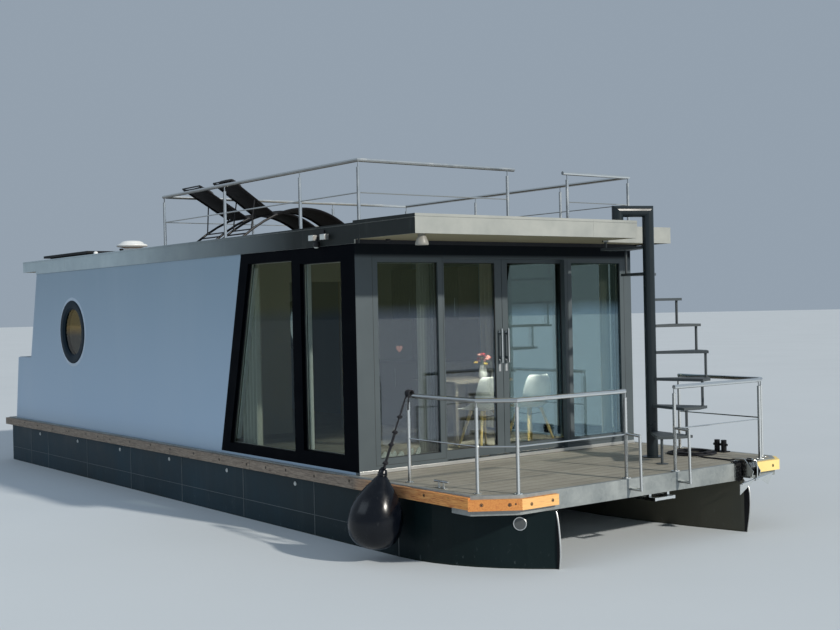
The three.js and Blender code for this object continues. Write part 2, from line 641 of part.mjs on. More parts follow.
// A thin upright band that follows a plan line, to the left of its direction.
function band(line, thick, [z0, z1]) {
  const normal = ([ax, ay], [bx, by]) => {
    const d = Math.hypot(bx - ax, by - ay);
    return [-(by - ay) / d, (bx - ax) / d];
  };
  const inner = line.map((p, i) => {
    const before = i > 0 ? normal(line[i - 1], p) : normal(p, line[i + 1]);
    const after = i < line.length - 1 ? normal(p, line[i + 1]) : before;
    const mean = [before[0] + after[0], before[1] + after[1]];
    const scale = (2 * thick) / (mean[0] ** 2 + mean[1] ** 2);
    return [p[0] + mean[0] * scale, p[1] + mean[1] * scale];
  });
  return planSlab([...line, ...inner.reverse()], [z0, z1]);
}

// The metal edge around the roof: the sides, the stern's overhang, the bow's taller one and the
// step back beside the stair.
function roofFascia() {
  const { bow, bowPort, stern, starboard, port, notchY, soffit } = ROOF;
  const { thick, bottom, top, bowTop, lap, drip } = FASCIA;
  const aft = CABIN.aftTop;
  return piece("roof_fascia", FINISH.galvanised, join([
    band([[aft, starboard], [lap, starboard]], thick, [bottom, top]),
    band([[lap, port], [aft, port]], thick, [bottom, top]),
    band([[aft + lap, port], [stern, port], [stern, starboard], [aft + lap, starboard]],
      thick, [soffit, top]),
    band([[0, starboard], [bow, starboard], [bow, notchY], [bowPort - thick, notchY]], thick,
      [soffit, bowTop]),
    band([[bowPort, notchY - thick], [bowPort, port], [0, port]], thick, [soffit - drip, top]),
  ]));
}

function terraceBoards() {
  return piece("terrace_boards", FINISH.planks,
    box([BOARDS.aft, BOARDS.front], [BOARDS.starboard, BOARDS.port], [ROOF.top, BOARDS.top]));
}

// Where a post stands: on the boards, or on the roof beside them.
function footZ(x, y) {
  const margin = 45;
  const onBoards = x < BOARDS.front - margin && y > BOARDS.starboard + margin && y < BOARDS.port - margin;
  return onBoards ? BOARDS.top : ROOF.top;
}

function terraceRun(name, line, midLine, posts) {
  const t = TERRACE;
  return piece(name, FINISH.stainless, join([
    pipe(line.map(([x, y]) => [x, y, t.top - t.tube]), t.tube, 8),
    pipe(midLine.map(([x, y]) => [x, y, t.mid]), t.midTube, 6),
    ...posts.flatMap(([x, y]) => [
      rod([x, y, footZ(x, y)], [x, y, t.top - t.stubLength], t.post, 8),
      rod([x, y, t.top - t.stubLength - WELD], [x, y, t.top - t.tube], t.stub, 6),
    ]),
  ]));
}

function terraceRails() {
  const t = TERRACE;
  const sideRun = (side) => {
    const { y, posts, gatePost, gateEnd } = t[side];
    const from = (start) => [[t.front, start], [t.front, y], [t.aft - t.tube, y]];
    return terraceRun("terrace_rail_" + side, from(gateEnd), from(gatePost),
      [[t.front, gatePost], ...[t.front, ...posts, t.aft].map((x) => [x, y])]);
  };
  const butt = t.tube + TOUCH;
  const aftLine = [[t.aft, t.starboard.y + butt], [t.aft, t.port.y - butt]];
  return [
    sideRun("starboard"), sideRun("port"),
    terraceRun("terrace_rail_aft", aftLine, aftLine, t.aftPosts.map((y) => [t.aft, y])),
  ];
}

// A folding lounger across the boat: two bows from the boards to the boards, a raised back on its
// props, and a sling that runs down the back and over the bows.
function lounger({ name, x, head }) {
  const l = LOUNGER;
  const bow = new THREE.QuadraticBezierCurve(...[l.bow.head, l.bow.crown, l.bow.foot].map(
    ([y, z]) => new THREE.Vector2(y, z)));
  const at = (share) => bow.getPoint(share).toArray();
  const across = [x, x + l.width];
  const rails = [x + l.railInset, x + l.width - l.railInset];
  const bar = ([y, z], r) => rod([across[0], y, z], [across[1], y, z], r, 8);
  const propTop = l.hip.map((v, i) => v + l.propShare * (head[i] - v));
  const frame = piece("lounger_frame_" + name, FINISH.black, join([
    ...across.map((side) => pipe(bow.getPoints(l.bow.steps).map((p) => [side, p.x, p.y]), l.tube, 8)),
    ...across.flatMap((side) => [0, 1].map((end) => {
      const [y] = at(end);
      return box([side - l.tube, side + l.tube], [y - 25, y + 25], [0, 24]);
    })),
    ...l.bars.map((share) => bar([at(share)[0], at(share)[1] - l.tube + 2], l.bar)),
    bar(l.hipBar, l.bar), bar(l.prop.bow, l.prop.r),
    rod([rails[0], ...head], [rails[1], ...head], l.bar, 8),
    ...rails.flatMap((side) => [
      rod([side, ...l.hip], [side, ...head], l.rail, 8),
      rod([side, ...propTop], [side, ...l.prop.bow], l.prop.r, 8),
    ]),
  ]));
  return group([frame, piece("lounger_sling_" + name, FINISH.sling, loungerSling(x, head, at))],
    [0, 0, BOARDS.top]);
}

function loungerSling(x, head, at) {
  const l = LOUNGER;
  const s = l.sling;
  const ribbon = (path, low, high, xSpan) => frontSlab(
    [...path.map(([y, z]) => [y, z + low]), ...path.map(([y, z]) => [y, z + high]).reverse()], xSpan);
  const inset = l.railInset + l.rail + TOUCH;
  const slope = (head[1] - l.hip[1]) / (head[0] - l.hip[0]);
  const onBack = (y) => [y, l.hip[1] + slope * (y - l.hip[0])];
  const legs = Array.from({ length: s.steps }, (_, i) =>
    at(s.from + ((s.to - s.from) * i) / (s.steps - 1)));
  const back = [onBack(head[0] + s.headGap), legs[0]];
  const length = Math.hypot(head[0] - l.hip[0], head[1] - l.hip[1]);
  const pad = [l.pad.from, l.pad.to].map((d) => l.hip.map((v, i) => v + ((head[i] - v) * d) / length));
  return join([
    ribbon(back, s.rise - s.thick / 2, s.rise + s.thick / 2, [x + inset, x + l.width - inset]),
    ribbon(legs, s.rise - s.thick / 2, s.rise + s.thick / 2,
      [x + l.tube + TOUCH, x + l.width - l.tube - TOUCH]),
    ribbon([pad[1], pad[0]], s.rise, s.rise + l.pad.thick,
      [x + l.pad.inset, x + l.width - l.pad.inset]),
  ]);
}

function roofGear() {
  const v = VENT;
  const vent = turned([[0, 0], [v.neck, 0], [v.neck, v.neckTop], [v.brim, v.brimBottom],
    [v.brim, v.brimTop], [v.neck, v.shoulder], [0, v.top]], 24).translate(v.x, v.y, ROOF.top);
  const s = SOLAR;
  return [
    piece("roof_vent", FINISH.white, vent),
    piece("solar_panel", FINISH.cells, join([
      box([s.x0, s.x1], [s.y0, s.y1], [ROOF.top + s.lift, ROOF.top + s.lift + s.thick]),
      ...s.feet.map((y) =>
        box([s.x0 + s.inset, s.x1 - s.inset], [y, y + s.foot], [ROOF.top, ROOF.top + s.lift + WELD])),
    ])),
  ];
}

// Spiral stair

function stair() {
  const s = STAIR;
  const column = piece("stair_column", FINISH.anthracite, join([
    pipe([[s.x, s.y, 0], [s.x, s.y, s.top], [s.headX, s.headY, s.top], [s.headX, s.headY, ROOF.top]],
      s.r, 20),
    rod([s.x, s.y, 0], [s.x, s.y, s.footThick], s.footR, 20),
  ]));
  const polar = (r, degrees) => {
    const angle = (degrees * Math.PI) / 180;
    return [s.x + r * Math.cos(angle), s.y + r * Math.sin(angle)];
  };
  const strut = (degrees, from, to) => {
    const [x, y] = polar(s.treadR - s.strutInset, degrees);
    return rod([x, y, from], [x, y, to], s.strut, 8);
  };
  const half = s.stepAngle / 2 + s.overlap;
  const solids = [];
  for (let k = 1; k <= s.treads; k += 1) {
    const middle = s.firstAngle + s.stepAngle * (k - 1);
    const top = s.rise * k;
    solids.push(planSlab([
      polar(s.r + WELD, middle - s.root), polar(s.treadR, middle - half),
      polar(s.treadR + s.nose, middle), polar(s.treadR, middle + half),
      polar(s.r + WELD, middle + s.root), polar(s.r + 12, middle),
    ], [top - s.thick, top]));
    const foot = k === 1 ? 0 : top - s.rise - s.thick;
    solids.push(strut(middle - s.stepAngle / 2, foot, top - 2));
  }
  solids.push(strut(s.firstAngle + s.stepAngle * (s.treads - 0.5), s.rise * s.treads - 20,
    ROOF.soffit - TOUCH));
  const [x, y] = polar(s.treadR - s.strutInset, s.firstAngle - s.stepAngle / 2);
  solids.push(rod([x, y, 0], [x, y, s.strutFootThick], s.strutFootR, 14));
  return [column, piece("stair_treads", FINISH.anthracite, join(solids))];
}

// Bow rails and deck gear

function bowRail(side, handleAt) {
  const r = RAIL;
  const line = BOW_RAILS[side];
  const [hx, hy] = handleAt;
  const h = r.handle;
  return piece("bow_rail_" + side, FINISH.stainless, join([
    pipe(line.map(([x, y]) => [x, y, r.top - r.tube]), r.tube, 8),
    pipe(line.map(([x, y]) => [x, y, r.mid]), r.midTube, 6),
    ...line.flatMap(([x, y]) => [
      rod([x, y, 0], [x, y, r.top - r.stubLength], r.post, 8),
      rod([x, y, r.top - r.stubLength - WELD], [x, y, r.top - r.tube], r.stub, 6),
      rod([x, y, 0], [x, y, r.footThick], r.foot, 10),
    ]),
    pipe([[hx, hy, h.top], [hx + h.reach, hy, h.knee], [hx + h.drop, hy, h.bottom],
      [DECK.bow + TOUCH, hy, h.bottom]], h.r, 8),
  ]));
}

function boardingLadder() {
  const l = LADDER;
  const z = FRAME.beamBottom;
  const sides = [l.y0, l.y1].map((y) =>
    box([l.back, l.front], [y, y + l.width], [z + l.bottom, z + l.top]));
  const rungs = l.rungs.map((x) =>
    box([x, x + l.width], [l.y0, l.y1 + l.width], [z + l.bottom + 2, z + l.top - 2]));
  const hangers = l.hangers.flatMap((x) => [l.y0, l.y1].map((y) =>
    box([x, x + l.hanger], [y, y + l.width], [z + l.top - 2, z - TOUCH])));
  return piece("boarding_ladder", FINISH.galvanised, join([...sides, ...rungs, ...hangers]));
}

function cleat() {
  const { x, y, half, r, height, legs, base, baseHalf } = CLEAT;
  return piece("bow_cleat", FINISH.stainless, join([
    rod([x - half, y, height], [x + half, y, height], r, 8),
    ...legs.map((dx) => rod([x + dx, y, 0], [x + dx, y, height - 2], r, 8)),
    box([x - base, x + base], [y - baseHalf, y + baseHalf], [0, 8]),
  ]));
}

function bollard() {
  const b = BOLLARD;
  return piece("bow_bollard", FINISH.black, join([
    box([b.x - b.length / 2, b.x + b.length / 2], [b.y - b.width / 2, b.y + b.width / 2], [0, b.plate]),
    ...b.posts.map((dx) => rod([b.x + dx, b.y, 0], [b.x + dx, b.y, b.top], b.postR, 12)),
    rod([b.x - b.length / 2, b.y, b.barZ], [b.x + b.length / 2, b.y, b.barZ], b.barR, 8),
  ]));
}

function bowRoller() {
  const r = ROLLER;
  const face = DECK.bow + TOUCH;
  const cheekOutline = [[face, r.cheekBottom], ...r.cheekLine, [face, r.cheekTop]];
  const cheeks = [r.y - r.cheekInset - r.cheek, r.y + r.cheekInset].map((y) =>
    sideSlab(cheekOutline, [y, y + r.cheek]));
  const reach = r.cheekInset + r.cheek;
  return piece("bow_roller", FINISH.stainless, join([
    ...cheeks,
    box([r.plateBack, r.plateFront], [r.y - reach, r.y + reach], [0, r.plateThick]),
    rod([r.x, r.y - reach, r.z], [r.x, r.y + reach, r.z], r.pinR, 8),
    rod([r.x, r.y - r.half, r.z], [r.x, r.y + r.half, r.z], r.r, 16),
  ]));
}

// The anchor hangs outside the bow roller, its shank laid back over the roller and the deck's edge.
function anchor() {
  const a = ANCHOR;
  const f = a.fluke;
  const y = ROLLER.y;
  const low = a.shankBottom;
  const raised = (line) => line.map(([x, z]) => [x, low + z]);
  const shank = sideSlab([
    [a.shankBack, low], ...raised(a.bendUnder), [a.rodX - a.shankHalf, a.rodZ],
    [a.rodX + a.shankHalf, a.rodZ], ...raised(a.bendOver), [a.shankBack, low + a.shankDeep],
  ], [y - a.shankThick / 2, y + a.shankThick / 2]);
  const flukes = [-1, 1].map((side) => triangle(
    [0, side * f.from, 0], [0, side * f.to, 0], [f.tipX, side * f.tipY, f.tipZ], f.thick));
  const crown = rod([0, -f.from - WELD, 0], [0, f.from + WELD, 0], a.crownR, 10);
  const bar = rod([0, -a.rodHalf, 0], [0, a.rodHalf, 0], a.rodR, 8);
  const lower = [crown, bar, ...flukes].map((part) =>
    part.rotateX(a.twist).translate(a.rodX, y, a.rodZ));
  return piece("anchor", FINISH.galvanised, join([shank, ...lower]));
}

// The anchor's rope: the stretch from the shank along the deck, and the room that its coil fills.
function anchorRope() {
  const { r, route, coil } = ANCHOR_ROPE;
  const line = new THREE.CatmullRomCurve3(route.map((p) => new THREE.Vector3(...p)));
  const round = new THREE.EllipseCurve(0, 0, r, r).getPoints(8).slice(0, -1);
  const lead = new THREE.ExtrudeGeometry(new THREE.Shape(round),
    { steps: 24, extrudePath: line, bevelEnabled: false });
  const ring = turned([[coil.inner, TOUCH], [coil.outer, TOUCH], [coil.outer, coil.top],
    [coil.inner, coil.top], [coil.inner, TOUCH]], 32).translate(coil.x, coil.y, 0);
  return [piece("anchor_rope", FINISH.black, lead), piece("anchor_rope_coil", FINISH.black, ring)];
}

function fender() {
  const f = FENDER;
  const eye = new THREE.Vector3(...f.eye);
  const tip = new THREE.Vector3(...f.tip);
  const length = eye.distanceTo(tip);
  const axis = eye.clone().sub(tip).normalize();
  const turn = new THREE.Quaternion().setFromUnitVectors(new THREE.Vector3(0, 0, 1), axis);
  const body = turned(f.profile.map(([r, z]) => [r * f.r, z * length]), 24)
    .applyQuaternion(turn)
    .translate(tip.x, tip.y, tip.z);
  const along = (distance) => eye.clone().addScaledVector(axis, distance).toArray();
  const railY = BOW_RAILS.starboard[0][1] - RAIL.tube - TOUCH;
  const railZ = RAIL.top - RAIL.tube;
  const rope = pipe([along(TOUCH), along(f.neck), [f.ropeX, railY - f.ropeOut, railZ],
    [f.ropeX, railY, railZ]], f.ropeR, 8);
  return [piece("fender", FINISH.black, body), piece("fender_rope", FINISH.black, rope)];
}

function spotlight() {
  const s = SPOT;
  const y = ROOF.starboard;
  return piece("fascia_spotlight", FINISH.white, join([
    box([s.plateX0, s.plateX1], [y - s.thick, y - TOUCH], [s.plateZ0, s.plateZ1]),
    ...s.heads.map((x) =>
      rod([x, y - s.thick + 2, s.headZ], [x, y - s.reach, s.headZ - s.droop], s.headR, 14)),
  ]));
}

// Saloon, seen through the glass

// The partition behind the saloon, with the kitchen that stands against it and the port wall.
function saloonJoinery() {
  const p = PARTITION;
  const k = KITCHEN;
  const partition = frontSlab(rectangle(INSIDE, [0, CABIN.top]), [p.back, p.front],
    [rectangle([p.doorY0, p.doorY1], [-PAST, p.doorTop])]);
  const wallY = INSIDE[1] - WELD;
  const x = [p.front - WELD, k.front];
  return piece("saloon_joinery", FINISH.furniture, join([
    partition,
    box(x, [wallY - k.counterDeep, wallY], [0, k.counterTop]),
    box(x, [wallY - k.shelfDeep, wallY], [k.shelfBottom, k.shelfTop]),
    box(x, [wallY - k.splash, wallY], [k.counterTop - WELD, k.shelfBottom + WELD]),
  ]));
}

function diningTable() {
  const t = TABLE;
  const legs = [t.x0 + t.inset, t.x1 - t.inset - t.leg].flatMap((x) =>
    [t.y0 + t.inset, t.y1 - t.inset - t.leg].map((y) =>
      box([x, x + t.leg], [y, y + t.leg], [0, t.top - t.thick + WELD])));
  return piece("dining_table", FINISH.furniture,
    join([box([t.x0, t.x1], [t.y0, t.y1], [t.top - t.thick, t.top]), ...legs]));
}

function chair({ name, x, y }) {
  const c = CHAIR;
  const legs = [[-1, -1], [-1, 1], [1, -1], [1, 1]].map(([a, b]) =>
    rod([a * c.legOut, b * c.legOut, c.legBottom], [a * c.legIn, b * c.legIn, c.legTop], c.legR, 8));
  const sides = [-c.half, c.half - c.shell].map((from) =>
    box([c.armFrom, c.half], [from, from + c.shell], [c.seat + c.shell - WELD, c.arm]));
  return group([piece(name, FINISH.white, join([
    ...legs, ...sides,
    box([-c.half, c.half], [-c.half, c.half], [c.seat, c.seat + c.shell]),
    box([c.half - c.shell, c.half], [-c.half, c.half], [c.seat + c.shell - WELD, c.back]),
  ]))], [x, y, 0]);
}

// Stern

function sternRail({ side, y0, y1 }) {
  const r = RAIL;
  const x = STERN_RAIL_X;
  return piece("stern_rail_" + side, FINISH.stainless, join([
    pipe([[x, y0, 0], [x, y0, r.sternTop], [x, y1, r.sternTop], [x, y1, 0]], r.tube, 8),
    rod([x, y0, r.sternMid], [x, y1, r.sternMid], r.midTube, 6),
  ]));
}

function outboardBracket() {
  const o = OUTBOARD;
  const { front, back, deckBack, at, width, deep, tab } = o.arm;
  const under = FRAME.bottom;
  const arms = at.flatMap((y) => [
    box([back, front], [y, y + width], [under - deep, under - tab + WELD]),
    box([deckBack, front], [y, y + width], [under - tab, under - TOUCH]),
  ]);
  const ears = [-o.earInner - o.earThick, o.earInner].map((y) =>
    box([o.tiltX - o.earBack, o.bracket.back + 10], [y, y + o.earThick],
      [o.earBottom, o.tiltZ + o.earTop]));
  const b = o.bracket;
  const plate = box([b.back, DECK.stern - RUB.depth - TOUCH], [-b.half, b.half], [b.bottom, b.top]);
  return piece("outboard_bracket", FINISH.galvanised, join([plate, ...arms, ...ears]));
}

function outboardSwivel() {
  const o = OUTBOARD;
  const half = o.earInner - TOUCH;
  return piece("outboard_swivel", FINISH.black, join([
    rod([o.tiltX, -half, o.tiltZ], [o.tiltX, half, o.tiltZ], o.tiltR, 16),
    rod([o.steerX, 0, o.swivelBottom], [o.steerX, 0, o.swivelTop], o.steerR, 16),
  ]));
}

function outboardMotor() {
  const o = OUTBOARD;
  const c = o.cowl;
  const cowl = sideSlab([
    ...o.cowlFront.map(([inset, z]) => [c.front - inset, z]),
    ...o.cowlBack.map(([inset, z]) => [c.back + inset, z]),
  ].reverse(), [-c.half, c.half]);
  const leg = sideSlab(o.legLine, [-o.legHalf, o.legHalf]);
  const holders = [[o.swivelTop + TOUCH, o.holderTop], [o.holderBottom, o.swivelBottom - TOUCH]].map((z) =>
    box([o.holderBack, o.steerX + 20], [-o.holderHalf, o.holderHalf], z));
  const p = o.plate;
  const plate = box([p.back, p.front], [-p.half, p.half], [p.bottom, p.top]);
  return piece("outboard_motor", FINISH.black, join([cowl, leg, plate, ...holders]));
}

function outboardPropeller() {
  const o = OUTBOARD;
  const blades = Array.from({ length: o.blades }, (_, k) =>
    box([-o.bladeThick / 2, o.bladeThick / 2], [-o.bladeHalf, o.bladeHalf], [o.propRoot, o.propR])
      .rotateZ(o.pitch)
      .translate(-o.hubLength / 2, 0, 0)
      .rotateX((k * 2 * Math.PI) / o.blades));
  const hub = rod([0, 0, 0], [-o.hubLength, 0, 0], o.hubR, 16);
  return group([piece("outboard_propeller", FINISH.black, join([hub, ...blades]))],
    [o.propX - TOUCH, 0, o.propZ]);
}

// The whole boat

const STARBOARD_WALL = [CABIN.starboard, CABIN.starboard + CABIN.wall];
const PORT_WALL = [CABIN.port - CABIN.wall, CABIN.port];

const boat = group([
  pontoonStarboard(), pontoonPort(), deckFrame(), deckPlanking(), rubRail(), thruster(),
  sideWall("wall_starboard", STARBOARD_WALL), sideWall("wall_port", PORT_WALL),
  ...sideWindow("starboard", CABIN.starboard, 1), ...sideWindow("port", CABIN.port, -1),
  porthole("starboard", CABIN.starboard, 1), porthole("port", CABIN.port, -1),
  frontFrame(), doorTracks(), ...frontPanes(), ...LEAVES.flatMap(doorLeaf), aftWall(), aftDoor(),
  roofSlab(), roofFascia(), terraceBoards(), ...terraceRails(), ...LOUNGER.places.map(lounger),
  ...roofGear(), ...stair(),
  bowRail("starboard", BOW_RAILS.starboard[3]), bowRail("port", BOW_RAILS.port[0]),
  boardingLadder(), cleat(), bollard(), bowRoller(), anchor(), ...anchorRope(), ...fender(),
  spotlight(), saloonJoinery(), diningTable(), ...CHAIRS.map(chair), ...STERN_RAILS.map(sternRail),
  outboardBracket(), outboardSwivel(), outboardMotor(), outboardPropeller(),
]);
const bounds = new THREE.Box3().setFromObject(boat, true);
const centre = bounds.getCenter(new THREE.Vector3());
boat.position.set(-centre.x, -centre.y, -bounds.min.z);

export default boat;
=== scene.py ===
"""The looks of a twin-pontoon houseboat, built over its CAD model.

Blender works in metres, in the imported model's frame. at() takes boat millimetres: X forward
from the cabin's front face, Y to port from the centreline, Z up from the deck.
"""
import math
import random

import bpy
from mathutils import Matrix, Vector


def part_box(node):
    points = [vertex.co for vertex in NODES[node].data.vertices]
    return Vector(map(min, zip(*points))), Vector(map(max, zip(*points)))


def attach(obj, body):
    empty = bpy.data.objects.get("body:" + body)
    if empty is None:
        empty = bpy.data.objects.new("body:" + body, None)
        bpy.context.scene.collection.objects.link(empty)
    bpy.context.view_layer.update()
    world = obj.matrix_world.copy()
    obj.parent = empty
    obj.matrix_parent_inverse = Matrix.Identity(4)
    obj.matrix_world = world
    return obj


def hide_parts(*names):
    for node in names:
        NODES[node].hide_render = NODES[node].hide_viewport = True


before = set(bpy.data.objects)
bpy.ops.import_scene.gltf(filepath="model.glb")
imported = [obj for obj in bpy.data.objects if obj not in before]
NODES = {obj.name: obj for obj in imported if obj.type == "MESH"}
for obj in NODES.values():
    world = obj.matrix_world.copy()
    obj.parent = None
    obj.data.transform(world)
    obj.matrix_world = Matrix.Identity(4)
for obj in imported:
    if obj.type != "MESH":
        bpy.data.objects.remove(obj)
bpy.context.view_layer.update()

# The deck planking's low corner and its top tie the boat's own frame to the model's.
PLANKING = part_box("deck_planking")
SHIFT = Vector((PLANKING[0].x + 9.9547, PLANKING[0].y + 1.9547, PLANKING[1].z))
WATERLINE = -680
UP = Vector((0, 0, 1))
SEED = 11


def at(x, y, z):
    """A point given in boat millimetres, in the model's frame."""
    return Vector((x, y, z)) / 1000 + SHIFT


def spots(*points):
    """Several points given in boat millimetres."""
    return [at(*p) for p in points]


def between(a, b, share):
    """The value some share of the way from a to b."""
    return a + (b - a) * share


def smooth(share):
    """Rises from 0 to 1 with no kink."""
    share = max(0.0, min(1.0, share))
    return share * share * (3 - 2 * share)


def power(value, exponent):
    """A power that keeps the value's sign."""
    return math.copysign(abs(value) ** exponent, value)


def around(count, start=0.0):
    """The angles of even steps round a circle."""
    return [2 * math.pi * k / count + start for k in range(count)]


def curve(corners, share):
    """A point of the quadratic curve that three corners steer."""
    a, b, c = (Vector(p) for p in corners)
    return (1 - share) ** 2 * a + 2 * share * (1 - share) * b + share ** 2 * c


def placed(name, data):
    """A new object in the scene."""
    made = bpy.data.objects.new(name, data)
    bpy.context.scene.collection.objects.link(made)
    return made


# Camera and light

VIEW_PLACE = (9940, -8658, 1635)
VIEW_BEARING, VIEW_HEIGHT, VIEW_ROLL = 143.01, -0.39, -1.25  # degrees
PHOTO_FOCAL, PHOTO_WIDTH = 1231.7, 840  # pixels
SENSOR = 36
SUN_BEARING, SUN_HEIGHT = 12, 28.5


def heading(bearing, height):
    """The direction some degrees to port of the bow and some above the horizon."""
    turn, rise = math.radians(bearing), math.radians(height)
    return Vector((math.cos(turn) * math.cos(rise), math.sin(turn) * math.cos(rise), math.sin(rise)))


def camera():
    """The photograph's viewpoint, solved from the boat's own edges."""
    ahead = heading(VIEW_BEARING, VIEW_HEIGHT)
    right = ahead.cross(UP).normalized()
    up = right.cross(ahead)
    c, s = math.cos(math.radians(VIEW_ROLL)), math.sin(math.radians(VIEW_ROLL))
    data = bpy.data.cameras.new("view")
    data.sensor_width = SENSOR
    data.lens = SENSOR * PHOTO_FOCAL / PHOTO_WIDTH
    data.clip_end = 500
    made = placed("view", data)
    turn = Matrix((c * right + s * up, c * up - s * right, -ahead)).transposed()
    made.matrix_world = Matrix.Translation(at(*VIEW_PLACE)) @ turn.to_4x4()
    bpy.context.scene.camera = made


def lamp(name, kind, energy, colour, place, aim, **settings):
    data = bpy.data.lights.new(name, kind)
    data.energy = energy
    data.color = colour
    for key, value in settings.items():
        setattr(data, key, value)
    made = placed(name, data)
    made.location = place
    made.rotation_mode = "QUATERNION"
    made.rotation_quaternion = (aim - place).to_track_quat("-Z", "Y")


def daylight():
    """A low soft sun a little to port of the bow, an even pale sky, and a light over the table."""
    centre = at(-2000, 0, 0)
    lamp("sun", "SUN", 2.9, (1.0, 0.95, 0.86), centre + heading(SUN_BEARING, SUN_HEIGHT) * 40,
         centre, angle=math.radians(2))
    lamp("side_fill", "AREA", 300, (0.78, 0.90, 1.0), at(-3500, -16000, 8500), at(-3500, -1900, 1300),
         shape="RECTANGLE", size=12, size_y=6)
    lamp("saloon_fill", "AREA", 29, (1.0, 0.96, 0.86), at(-500, 600, 2150), at(-980, 760, 500),
         shape="DISK", size=0.5, spread=math.radians(85))
    world = bpy.data.worlds.new("sky")
    world.use_nodes = True
    sky = world.node_tree.nodes["Background"]
    sky.inputs["Color"].default_value = (0.70, 0.84, 1.0, 1)
    sky.inputs["Strength"].default_value = 0.42
    bpy.context.scene.world = world
    bpy.context.scene.view_settings.view_transform = "Standard"


# Meshes

class Form:
    """The vertices and faces of one piece, gathered from simple bodies."""

    def __init__(self):
        self.verts, self.faces, self.uvs = [], [], []

    def add(self, verts, faces, uvs=None):
        base = len(self.verts)
        self.verts += [Vector(v) for v in verts]
        self.faces += [[base + i for i in face] for face in faces]
        self.uvs += uvs or [[(0.0, 0.0)] * len(face) for face in faces]
        return self

    def box(self, *ranges):
        """A block, between pairs of boat millimetres along X, Y and Z."""
        (a, b, c), (d, e, f) = spots(*zip(*(sorted(pair) for pair in ranges)))
        return self.slab([(a, b, c), (d, b, c), (d, e, c), (a, e, c)], (0, 0, f - c))

    def tube(self, points, radius, sides=12, closed=False):
        """A round tube along a line of points. radius is one number, or one for each point."""
        line = [Vector(p) for p in points]
        count = len(line)
        radii = radius if hasattr(radius, "__len__") else [radius] * count
        before = [line[-1 if closed else 0], *line[:-1]]
        after = [*line[1:], line[0 if closed else -1]]
        side = (after[0] - before[0]).normalized().orthogonal()
        verts, lengths = [], [0.0]
        for p, last, following, size in zip(line, before, after, radii):
            ahead = (following - last).normalized()
            side = (side - ahead * side.dot(ahead)).normalized()
            over = ahead.cross(side)
            verts += [p + size * (math.cos(t) * side + math.sin(t) * over) for t in around(sides)]
            lengths.append(lengths[-1] + (following - p).length)
        faces, uvs = [], []
        for i in range(count if closed else count - 1):
            j = (i + 1) % count
            for k in range(sides):
                m = (k + 1) % sides
                faces.append((i * sides + k, i * sides + m, j * sides + m, j * sides + k))
                uvs.append([(lengths[i], k / sides), (lengths[i], (k + 1) / sides),
                            (lengths[i + 1], (k + 1) / sides), (lengths[i + 1], k / sides)])
        if not closed:
            faces += [tuple(reversed(range(sides))), tuple(range((count - 1) * sides, count * sides))]
            uvs += [[(0.0, 0.0)] * sides] * 2
        return self.add(verts, faces, uvs)

    def turned(self, profile, place, axis=UP, sides=32):
        """A profile of (radius, height) turned about an axis from a place. A radius of 0 is one
        point, where the faces are triangles."""
        turn = UP.rotation_difference(Vector(axis)).to_matrix()
        verts, rings = [], []
        for r, h in profile:
            angles = [0.0] if r < 1e-6 else around(sides)
            rings.append([len(verts) + k for k in range(len(angles))])
            verts += [Vector(place) + turn @ Vector((r * math.cos(t), r * math.sin(t), h)) for t in angles]
        faces = []
        for low, high in zip(rings, rings[1:]):
            for k in range(sides):
                corners = [ring[i % len(ring)]
                           for ring, i in ((low, k), (low, k + 1), (high, k + 1), (high, k))]
                faces.append(list(dict.fromkeys(corners)))
        return self.add(verts, faces)

    def slab(self, outline, depth):
        """A flat outline of points, given some depth by a vector."""
        count = len(outline)
        near = [Vector(p) for p in outline]
        verts = near + [p + Vector(depth) for p in near]
        sides = [(k, (k + 1) % count, count + (k + 1) % count, count + k) for k in range(count)]
        return self.add(verts, [tuple(reversed(range(count))), tuple(range(count, 2 * count))] + sides)

    def strip(self, outline, width, depth):
        """A flat frame of some width just inside an outline, given depth by a vector."""
        pts = [Vector(p) for p in outline]
        count = len(pts)
        normal = Vector(depth).normalized()
        inner = []
        for i in range(count):
            a, b = (pts[i] - pts[i - 1]).normalized(), (pts[(i + 1) % count] - pts[i]).normalized()
            bisector = (normal.cross(a) + normal.cross(b)).normalized()
            inner.append(pts[i] + bisector * (width / max(0.2, bisector.dot(normal.cross(a)))))
        middle = sum(pts, Vector()) / count
        if (inner[0] - middle).length > (pts[0] - middle).length:
            inner = [2 * p - q for p, q in zip(pts, inner)]
        for i in range(count):
            j = (i + 1) % count
            self.slab([pts[i], pts[j], inner[j], inner[i]], depth)
        return self

    def grid(self, rows, closed=False):
        """A surface through rows of points, each row as long as the others."""
        wide = len(rows[0])
        faces, uvs = [], []
        for i in range(len(rows) - 1):
            for k in range(wide if closed else wide - 1):
                m = (k + 1) % wide
                faces.append((i * wide + k, i * wide + m, (i + 1) * wide + m, (i + 1) * wide + k))
                uvs.append([((k + a) / wide, (i + b) / len(rows))
                            for a, b in ((0, 0), (1, 0), (1, 1), (0, 1))])
        return self.add([p for row in rows for p in row], faces, uvs)

    def loft(self, rings):
        """Closed rings of points joined into one skin, closed at both ends."""
        start, wide = len(self.verts), len(rings[0])
        self.grid(rings, closed=True)
        self.faces += [range(start, start + wide)[::-1], range(len(self.verts) - wide, len(self.verts))]
        self.uvs += [[(0.0, 0.0)] * wide] * 2
        return self


def soften(made, sharp, bevel, bevel_over):
    """Smooth faces with edges that stay sharp over some degrees, and a small bevel in metres."""
    made.data.polygons.foreach_set("use_smooth", [True] * len(made.data.polygons))
    made.data.set_sharp_from_angle(angle=math.radians(sharp))
    if bevel:
        edge = made.modifiers.new("edge", "BEVEL")
        edge.width, edge.segments, edge.limit_method = bevel, 2, "ANGLE"
        edge.angle_limit = math.radians(bevel_over)


